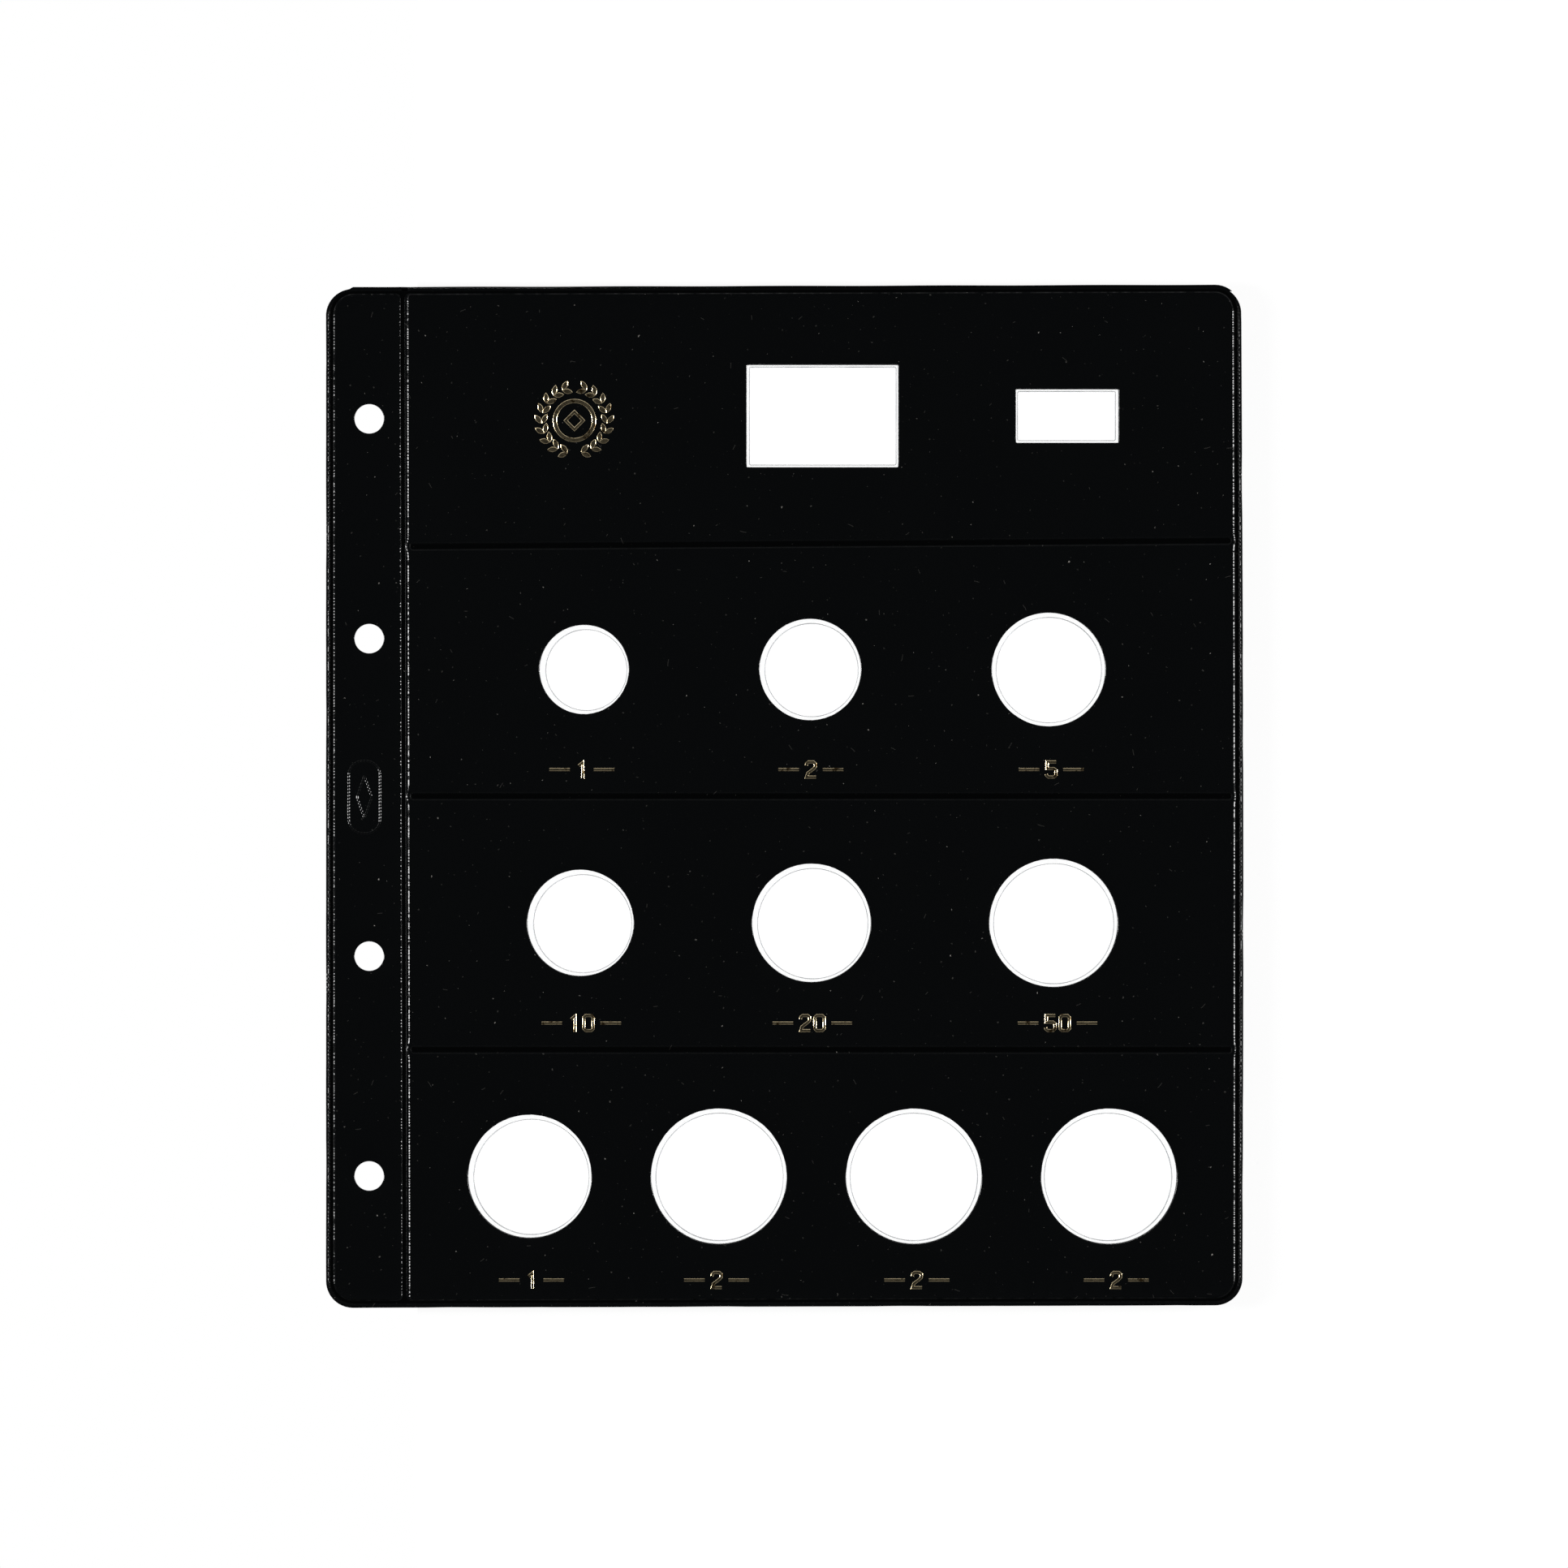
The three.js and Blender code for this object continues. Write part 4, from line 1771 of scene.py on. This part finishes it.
@dataclass
class Ribbon:
    """A raised line with sloping sides."""

    half_width: float
    slope: float
    rise: float
    sink: float = 0.03
    lump: float = 0.0
    lump_every: int = 3
    lump_spread: float = 0.25
    mitre_limit: float = 0.5

    def add(self, skin: Skin, line: Sequence[Point], closed: bool, ground: Height) -> None:
        """Lays the line along a row of points.

        Args:
            skin: The skin that gets the line.
            line: Middle of the line.
            closed: Whether the line closes on itself.
            ground: Level of the sheet under the line.
        """
        count = len(line)
        dice = random.Random(count)
        lanes: list[list[Place]] = [[], [], [], []]
        offsets = (
            (self.half_width, -self.sink),
            (self.half_width - self.slope, self.rise),
            (self.slope - self.half_width, self.rise),
            (-self.half_width, -self.sink),
        )
        for index, (x, y) in enumerate(line):
            before = line[(index - 1) % count] if closed or index else None
            after = line[(index + 1) % count] if closed or index < count - 1 else None
            side_x, side_y, reach = self.mitre(before, (x, y), after)
            for lane, (out, rise) in zip(lanes, offsets):
                spot = (x + side_x * out * reach, y + side_y * out * reach)
                dip = 1.0 if index % self.lump_every == 0 else self.lump_spread * dice.random()
                uneven = -self.lump * dip if rise > 0 else 0.0
                lane.append((*spot, ground(x, y) + rise + uneven))
        numbers = [skin.ring(lane) for lane in lanes]
        for first, second in zip(numbers, [*numbers[1:], numbers[0]]):
            skin.bridge(first, second, closed=closed, flat=self.lump > 0)
        if not closed:
            skin.faces.extend(Face(tuple(lane[end] for lane in numbers)) for end in (0, -1))

    def mitre(self, before: Point | None, here: Point, after: Point | None) -> tuple[float, float, float]:
        """Sideways direction of a line at a corner.

        Args:
            before: The point before, if there is one.
            here: The corner.
            after: The point after, if there is one.

        Returns:
            The direction, and how much further the mitre reaches than the line's half width.
        """
        ways = []
        for start, end in ((before, here), (here, after)):
            if start is not None and end is not None:
                length = math.hypot(end[0] - start[0], end[1] - start[1])
                ways.append(((end[0] - start[0]) / length, (end[1] - start[1]) / length))
        side_x = -sum(way[1] for way in ways)
        side_y = sum(way[0] for way in ways)
        length = math.hypot(side_x, side_y)
        side_x, side_y = side_x / length, side_y / length
        cosine = -side_x * ways[0][1] + side_y * ways[0][0]
        return side_x, side_y, 1 / max(self.mitre_limit, cosine)


NUMERALS: dict[str, tuple[bool, tuple[Point, ...]]] = {
    "0": (
        True,
        ((0.4, 0), (1.5, 0), (1.9, 0.4), (1.9, 2.7), (1.5, 3.1), (0.4, 3.1), (0, 2.7), (0, 0.4)),
    ),
    "1": (False, ((0.35, 2.3), (1.15, 3.0), (1.15, -0.2))),
    "2": (
        False,
        (
            (0, 2.35), (0.1, 2.8), (0.45, 3.1), (1.45, 3.1), (1.85, 2.75), (1.85, 2.1),
            (1.5, 1.7), (0.3, 0.8), (0.05, 0.0), (2.0, 0),
        ),
    ),
    "5": (
        False,
        (
            (1.95, 3.1), (0.1, 3.1), (0.1, 1.75), (1.5, 1.75), (1.9, 1.4), (1.9, 0.4),
            (1.5, 0), (0.4, 0), (0.0, 0.35), (-0.05, 0.65),
        ),
    ),
}


@dataclass(frozen=True)
class Label:
    """A numeral under a window, between two short rules."""

    text: str
    x: float
    y: float


@dataclass
class FoilPrint:
    """The gold foil on the front sheet: numerals under the windows and a laurel ring in the first row."""

    plan: PagePlan
    stroke: Ribbon = field(default_factory=lambda: Ribbon(0.34, 0.12, 0.05))
    numeral_height: float = 3.1
    advance: float = 2.95
    numeral_width: float = 1.9
    rule_gap: float = 1.5
    rule_length: float = 4.2
    labels: tuple[Label, ...] = (
        Label("1", -41.4, 5.45),
        Label("2", 5.5, 5.45),
        Label("5", 54.7, 5.45),
        Label("10", -41.5, -46.45),
        Label("20", 5.8, -46.45),
        Label("50", 56.0, -46.45),
        Label("1", -51.7, -99.05),
        Label("2", -13.8, -99.05),
        Label("2", 27.2, -99.05),
        Label("2", 68.0, -99.05),
    )
    laurel_middle: Point = (-42.9, 76.9)
    laurel_radius: float = 6.7
    leaf_length: float = 2.3
    leaf_half_width: float = 0.56
    leaf_count: int = 9
    leaf_tilt: float = 0.6
    leaf_marks: tuple[Point, ...] = ((0.0, 0.02), (0.25, 0.8), (0.55, 1.0), (0.82, 0.6), (1.0, 0.02))
    leaf_top: float = 0.84
    leaf_slope: float = 1.6
    laurel_gap: float = 0.2
    laurel_sweep: float = 2.55
    lozenge_share: float = 0.45
    rim_steps: int = 64
    sharp: float = 25.0
    coin_radius: float = 4.0
    coin_rim: Ribbon = field(default_factory=lambda: Ribbon(0.46, 0.12, 0.05))

    def build_numerals(self) -> bpy.types.Object:
        """Builds the numerals and their rules.

        Returns:
            The print.
        """
        skin = Skin()
        ground = self.plan.front_height
        for label in self.labels:
            width = self.numeral_width + self.advance * (len(label.text) - 1)
            left = label.x - width / 2
            low = label.y - self.numeral_height / 2
            for place, sign in enumerate(label.text):
                closed, line = NUMERALS[sign]
                spots = [(left + self.advance * place + x, low + y) for x, y in line]
                self.stroke.add(skin, spots, closed, ground)
            for side in (-1, 1):
                near = label.x + side * (width / 2 + self.rule_gap)
                far = near + side * self.rule_length
                self.stroke.add(skin, [(near, label.y), (far, label.y)], False, ground)
        return skin.to_object("foil_numerals", self.sharp)

    def leaf(self) -> bpy.types.Object:
        """One laurel leaf with a raised rib, lying along +X at the origin.

        Returns:
            The leaf.
        """
        skin = Skin()
        length, half = self.leaf_length, self.leaf_half_width
        spots = [(length * x, half * y) for x, y in self.leaf_marks]
        spots += [(length * x, -half * y) for x, y in reversed(self.leaf_marks)]
        middle = length / 2
        narrow = 1 - self.leaf_slope * self.stroke.slope
        outer = [(x, y, -self.stroke.sink) for x, y in spots]
        inner = [(middle + (x - middle) * self.leaf_top, y * narrow, self.stroke.rise) for x, y in spots]
        numbers = [skin.ring(outer), skin.ring(inner)]
        skin.bridge(numbers[0], numbers[1])
        last = len(spots) - 1
        for ring in numbers:
            for step in range(len(self.leaf_marks) - 1):
                corners = (step, step + 1, last - 1 - step, last - step)
                skin.faces.append(Face(tuple(ring[corner] for corner in corners)))
        return skin.to_object("laurel_leaf", self.sharp)

    def laurel_tree(self) -> tuple[bpy.types.NodeTree, dict[str, str]]:
        """Geometry nodes that lay leaves in pairs along an arc.

        Returns:
            The tree, and the identifiers of its inputs by name.
        """
        tree = bpy.data.node_groups.new("laurel_branch", "GeometryNodeTree")
        tree.interface.new_socket(name="Geometry", in_out="OUTPUT", socket_type="NodeSocketGeometry")
        kinds = {
            "Leaf": "NodeSocketObject",
            "Finish": "NodeSocketMaterial",
            "Leaves": "NodeSocketInt",
            "Radius": "NodeSocketFloat",
            "Start": "NodeSocketFloat",
            "Sweep": "NodeSocketFloat",
            "Tilt": "NodeSocketFloat",
        }
        names = {
            name: tree.interface.new_socket(name=name, in_out="INPUT", socket_type=kind).identifier
            for name, kind in kinds.items()
        }
        graph = Graph(tree)
        given = graph.add("NodeGroupInput").outputs
        sizes = {"Radius": given["Radius"], "Start Angle": given["Start"], "Sweep Angle": given["Sweep"]}
        arc = graph.add("GeometryNodeCurveArc", {"mode": "RADIUS"}, {"Resolution": 64, **sizes})
        rows = {"Curve": arc.outputs["Curve"], "Count": given["Leaves"]}
        stems = graph.add("GeometryNodeCurveToPoints", {"mode": "COUNT"}, rows)
        source = graph.add("GeometryNodeObjectInfo", {}, {"Object": given["Leaf"]})
        tangent = {"Vector": stems.outputs["Tangent"]}
        along = graph.add("FunctionNodeAlignRotationToVector", {"axis": "X"}, tangent)
        gather = graph.add("GeometryNodeJoinGeometry")
        for sign in (1.0, -1.0):
            tilt = graph.math("MULTIPLY", given["Tilt"], sign)
            turn = graph.add("FunctionNodeAxisAngleToRotation", {}, {"Axis": (0.0, 0.0, 1.0), "Angle": tilt})
            turns = {"Rotation": along.outputs["Rotation"], "Rotate By": turn.outputs["Rotation"]}
            way = graph.add("FunctionNodeRotateRotation", {"rotation_space": "LOCAL"}, turns)
            parts = {
                "Points": stems.outputs["Points"],
                "Instance": source.outputs["Geometry"],
                "Rotation": way.outputs["Rotation"],
            }
            leaves = graph.add("GeometryNodeInstanceOnPoints", {}, parts)
            tree.links.new(leaves.outputs["Instances"], gather.inputs["Geometry"])
        real = graph.add("GeometryNodeRealizeInstances", {}, {"Geometry": gather.outputs["Geometry"]})
        finish = {"Geometry": real.outputs["Geometry"], "Material": given["Finish"]}
        dressed = graph.add("GeometryNodeSetMaterial", {}, finish)
        graph.add("NodeGroupOutput", {}, {"Geometry": dressed.outputs["Geometry"]})
        return tree, names

    def build_laurel(self, foil: bpy.types.Material) -> bpy.types.Object:
        """Builds the ring of laurel from two branches, with a plain coin inside it.

        Args:
            foil: Finish of the leaves.

        Returns:
            The print.
        """
        leaf = self.leaf()
        tree, names = self.laurel_tree()
        work = bmesh.new()
        carrier = bpy.data.objects.new("laurel_branch", bpy.data.meshes.new("laurel_branch"))
        bpy.context.scene.collection.objects.link(carrier)
        for side in (1.0, -1.0):
            nodes = carrier.modifiers.new("laurel", "NODES")
            nodes.node_group = tree
            values = {
                "Leaf": leaf,
                "Finish": foil,
                "Leaves": self.leaf_count,
                "Radius": self.laurel_radius * MM,
                "Start": side * self.laurel_gap - math.pi / 2,
                "Sweep": side * self.laurel_sweep,
                "Tilt": self.leaf_tilt,
            }
            for name, value in values.items():
                nodes[names[name]] = value
            branch = plain_mesh(carrier)
            work.from_mesh(branch)
            bpy.data.meshes.remove(branch)
            carrier.modifiers.remove(nodes)
        bpy.data.objects.remove(carrier)
        bpy.data.objects.remove(leaf)
        x, y = self.laurel_middle
        rest = Vector((x * MM, y * MM, self.plan.front_height(x, y) * MM))
        bmesh.ops.translate(work, verts=work.verts, vec=rest)
        coin = self.build_coin()
        work.from_mesh(coin.data)
        bpy.data.objects.remove(coin)
        mesh = bpy.data.meshes.new("foil_laurel")
        work.to_mesh(mesh)
        work.free()
        finish_shading(mesh, self.sharp)
        piece = bpy.data.objects.new("foil_laurel", mesh)
        bpy.context.scene.collection.objects.link(piece)
        return piece

    def build_coin(self) -> bpy.types.Object:
        """Builds the plain coin in the laurel: a rim and a lozenge.

        Returns:
            The coin.
        """
        skin = Skin()
        x, y = self.laurel_middle
        rim = [(station.x, station.y) for station in round_outline(x, y, self.coin_radius, self.rim_steps)]
        self.coin_rim.add(skin, rim, True, self.plan.front_height)
        reach = self.coin_radius * self.lozenge_share
        lozenge = [(x + reach, y), (x, y + reach), (x - reach, y), (x, y - reach)]
        self.stroke.add(skin, lozenge, True, self.plan.front_height)
        return skin.to_object("laurel_coin", self.sharp)

    def dress(self, piece: bpy.types.Object, foil: bpy.types.Material) -> None:
        """Gives a print its finish and fixes it to the panel.

        Args:
            piece: The print.
            foil: Its finish.
        """
        piece.data.materials.clear()
        piece.data.materials.append(foil)
        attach(piece, Body.PANEL.value)


@dataclass
class MarginEmboss:
    """The blind emboss on the binding margin: a lozenge in a plain upright frame."""

    plan: PagePlan
    x: float = -85.9
    y: float = -0.2
    half_width: float = 3.2
    half_height: float = 7.4
    lozenge: Point = (1.5, 4.4)
    frame_round: float = 0.9
    spacing: float = 0.22
    lozenge_step: float = 0.05
    lozenge_count: int = 19
    sharp: float = 70.0
    line: Ribbon = field(default_factory=lambda: Ribbon(0.26, 0.15, 0.07, 0.02, 0.04))

    def build(self) -> bpy.types.Object:
        """Builds the raised lines.

        Returns:
            The emboss.
        """
        skin = Skin()
        sides = box(self.x, self.y, self.half_width, self.half_height)
        radii = [self.half_width * self.frame_round] * 4
        frame_line = [(s.x, s.y) for s in rounded_outline(sides, radii, self.spacing)]
        self.line.add(skin, frame_line, True, self.plan.front_height)
        left, low, right, high = box(self.x, self.y, *self.lozenge)
        corners = [(right, self.y), (self.x, high), (left, self.y), (self.x, low)]
        spots: list[Point] = []
        for (x, y), (next_x, next_y) in zip(corners, [*corners[1:], corners[0]]):
            for place in range(self.lozenge_count):
                step = self.lozenge_step + self.lozenge_step * place
                spots.append((x + (next_x - x) * step, y + (next_y - y) * step))
        self.line.add(skin, spots, True, self.plan.front_height)
        return skin.to_object("margin_emboss", self.sharp)

    def dress(self, piece: bpy.types.Object, vinyl: bpy.types.Material) -> None:
        """Gives the emboss the sheet's finish and fixes it to the margin.

        Args:
            piece: The emboss.
            vinyl: Finish of the sheet.
        """
        piece.data.materials.append(vinyl)
        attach(piece, Body.MARGIN.value)


# Studio


@dataclass
class Studio:
    """White table, two soft boxes at the sides and a camera straight above."""

    plan: PagePlan
    frame_width: float = 320.98
    aim_y: float = 2.49
    distance: float = 2400.0
    sensor: float = 36.0
    lamp_power: float = 9.0
    lamp_size: Point = (0.25, 0.45)
    lamp_place: Place = (0.95, 0.0, 0.48)
    table_half: float = 4000.0
    table_level: float = -0.2
    table_glow: float = 0.9
    edge_room: float = 2.5
    panel_inset: float = 1.5
    panel_level: float = -0.1
    painted_panel_glow: float = 1.0
    table_roughness: float = 0.9
    ground: Place = (0.14, 0.14, 0.14)
    dome_heights: Point = (0.1, 0.75)
    dome_glow: Point = (0.9, 0.015)
    room_depths: Point = (-0.6, 0.8)
    room_glow: Point = (0.35, 1.0)

    def camera(self) -> None:
        """Sets the camera where the photograph was taken from."""
        data = bpy.data.cameras.new("camera")
        data.sensor_width = self.sensor
        data.sensor_fit = "HORIZONTAL"
        data.lens = self.sensor * self.distance / self.frame_width
        data.clip_start = 0.01
        camera = bpy.data.objects.new("camera", data)
        camera.location = (0.0, self.aim_y * MM, (self.plan.front_top + self.distance) * MM)
        bpy.context.scene.collection.objects.link(camera)
        bpy.context.scene.camera = camera

    def lamps(self) -> None:
        """Sets a soft box at the left and one at the right."""
        for side in (-1, 1):
            data = bpy.data.lights.new("soft_box", "AREA")
            data.shape = "RECTANGLE"
            data.size, data.size_y = self.lamp_size
            data.energy = self.lamp_power
            lamp = bpy.data.objects.new("soft_box", data)
            place = Vector((side * self.lamp_place[0], self.lamp_place[1], self.lamp_place[2]))
            lamp.location = place
            lamp.rotation_euler = (-place).to_track_quat("-Z", "Y").to_euler()
            bpy.context.scene.collection.objects.link(lamp)

    def background(self, graph: Graph, kinds: Sequence[str]) -> Socket:
        """A mask of the kinds of ray that see the white background.

        Args:
            graph: The graph that gets the mask.
            kinds: The kinds of ray.

        Returns:
            The mask.
        """
        path = graph.add("ShaderNodeLightPath").outputs
        mask = path[kinds[0]]
        for kind in kinds[1:]:
            mask = graph.math("MAXIMUM", mask, path[kind])
        return mask

    def room(self) -> None:
        """Makes the world: white round the horizon, dark overhead."""
        world = bpy.data.worlds.new("room")
        world.use_nodes = True
        graph = Graph(world.node_tree)
        background = world.node_tree.nodes["Background"]
        where = graph.add("ShaderNodeTexCoord").outputs["Generated"]
        parts = graph.add("ShaderNodeSeparateXYZ", {}, {"Vector": where})
        dome = graph.ranged(parts.outputs["Z"], self.dome_heights, self.dome_glow)
        towards_top = graph.ranged(parts.outputs["Y"], self.room_depths, self.room_glow)
        seen = self.background(graph, ("Is Camera Ray", "Is Transmission Ray"))
        strength = graph.math("MAXIMUM", seen, graph.math("MULTIPLY", dome, towards_top))
        graph.tree.links.new(strength, background.inputs["Strength"])
        background.inputs["Color"].default_value = WHITE
        bpy.context.scene.world = world

    def plate(self, name: str, reach: Point, level: float, glow: float) -> None:
        """Makes a white plate that glows for the eye; at the table's glow it keeps the page's shadow, and at
        the panel's full glow it is painted light that whitens that shadow.

        It ends at the left just beside the fold, so that the margin has room to hang down.

        Args:
            name: Name of the plate.
            reach: How far it goes to the right, and up and down.
            level: Its level under the page.
            glow: How brightly it is seen before any light falls on it.
        """
        material = bpy.data.materials.new(name)
        material.use_nodes = True
        graph = Graph(material.node_tree)
        shader = material.node_tree.nodes["Principled BSDF"]
        shader.inputs["Base Color"].default_value = (*self.ground, 1.0)
        shader.inputs["Roughness"].default_value = self.table_roughness
        shader.inputs["Specular IOR Level"].default_value = 0.0
        shader.inputs["Emission Color"].default_value = WHITE
        seen = self.background(graph, ("Is Camera Ray", "Is Glossy Ray", "Is Transmission Ray"))
        graph.tree.links.new(graph.math("MULTIPLY", seen, glow), shader.inputs["Emission Strength"])
        left = self.plan.fold_x + self.edge_room
        right, top = reach
        spots = ((left, -top), (right, -top), (right, top), (left, top))
        corners = [(x * MM, y * MM, level * MM) for x, y in spots]
        mesh = bpy.data.meshes.new(name)
        mesh.from_pydata(corners, [], [(0, 1, 2, 3)])
        mesh.materials.append(material)
        plate = bpy.data.objects.new(name, mesh)
        bpy.context.scene.collection.objects.link(plate)

    def table(self) -> None:
        """Makes the white table, with a glowing panel on it under the page: painted light, seen in the
        windows in place of the page's shadow.
        """
        self.plate("white_table", (self.table_half, self.table_half), self.table_level, self.table_glow)
        panel = (self.plan.right - self.panel_inset, self.plan.top - self.panel_inset)
        # Painted light: this panel glows only where it is seen, so the windows show white in place of the
        # page's shadow.
        self.plate("lit_panel", panel, self.panel_level, self.painted_panel_glow)

    def build(self) -> None:
        """Sets up the whole studio."""
        self.camera()
        self.lamps()
        self.room()
        self.table()
        bpy.context.scene.view_settings.view_transform = "Standard"


def report(piece: bpy.types.Object) -> None:
    """Logs a finished piece with its number of faces."""
    LOG.info("%s: %d faces", piece.name, len(piece.data.polygons))


def main() -> None:
    """Builds the page, dresses it and sets up the studio."""
    logging.basicConfig(level=logging.INFO, format="%(name)s %(message)s")
    plan = PagePlan()
    Studio(plan).build()
    vinyl = BlackVinyl("black_vinyl").make()
    # Finish of the welds' floors: glossier than the sheet, and darker in colour as painted shade in the
    # grooves.
    pressed_and_shaded = BlackVinyl(
        "pressed_vinyl_painted_shade", colour=(0.001, 0.0012, 0.0013), gloss=(0.12, 0.15), grain_strength=0.1, dirt=0.4
    ).make()
    film = ClearPlastic("clear_film").make()
    clear = ClearPlastic("clear_strip", cover=0.35).make()
    edge = PunchedEdge("punched_edge").make()
    foil = GoldFoil("gold_foil").make()

    front = FrontSheet(plan)
    front_piece = front.build()
    front.dress(front_piece, vinyl, pressed_and_shaded)
    report(front_piece)
    back = BackSheet(plan)
    back_piece = back.build()
    back.dress(back_piece, vinyl)
    report(back_piece)
    for node in ("front_film", "back_film"):
        film_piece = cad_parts[node]
        film_piece.data.materials.clear()
        film_piece.data.materials.append(film)
        report(film_piece)
    for row in Row:
        strip = CoinStrip(plan, row)
        strip_piece = strip.build()
        strip.dress(strip_piece, clear, edge)
        report(strip_piece)
    print_work = FoilPrint(plan)
    for foil_piece in (print_work.build_numerals(), print_work.build_laurel(foil)):
        print_work.dress(foil_piece, foil)
        report(foil_piece)
    emboss = MarginEmboss(plan)
    emboss_piece = emboss.build()
    emboss.dress(emboss_piece, vinyl)
    report(emboss_piece)


if __name__ == "__main__":
    main()
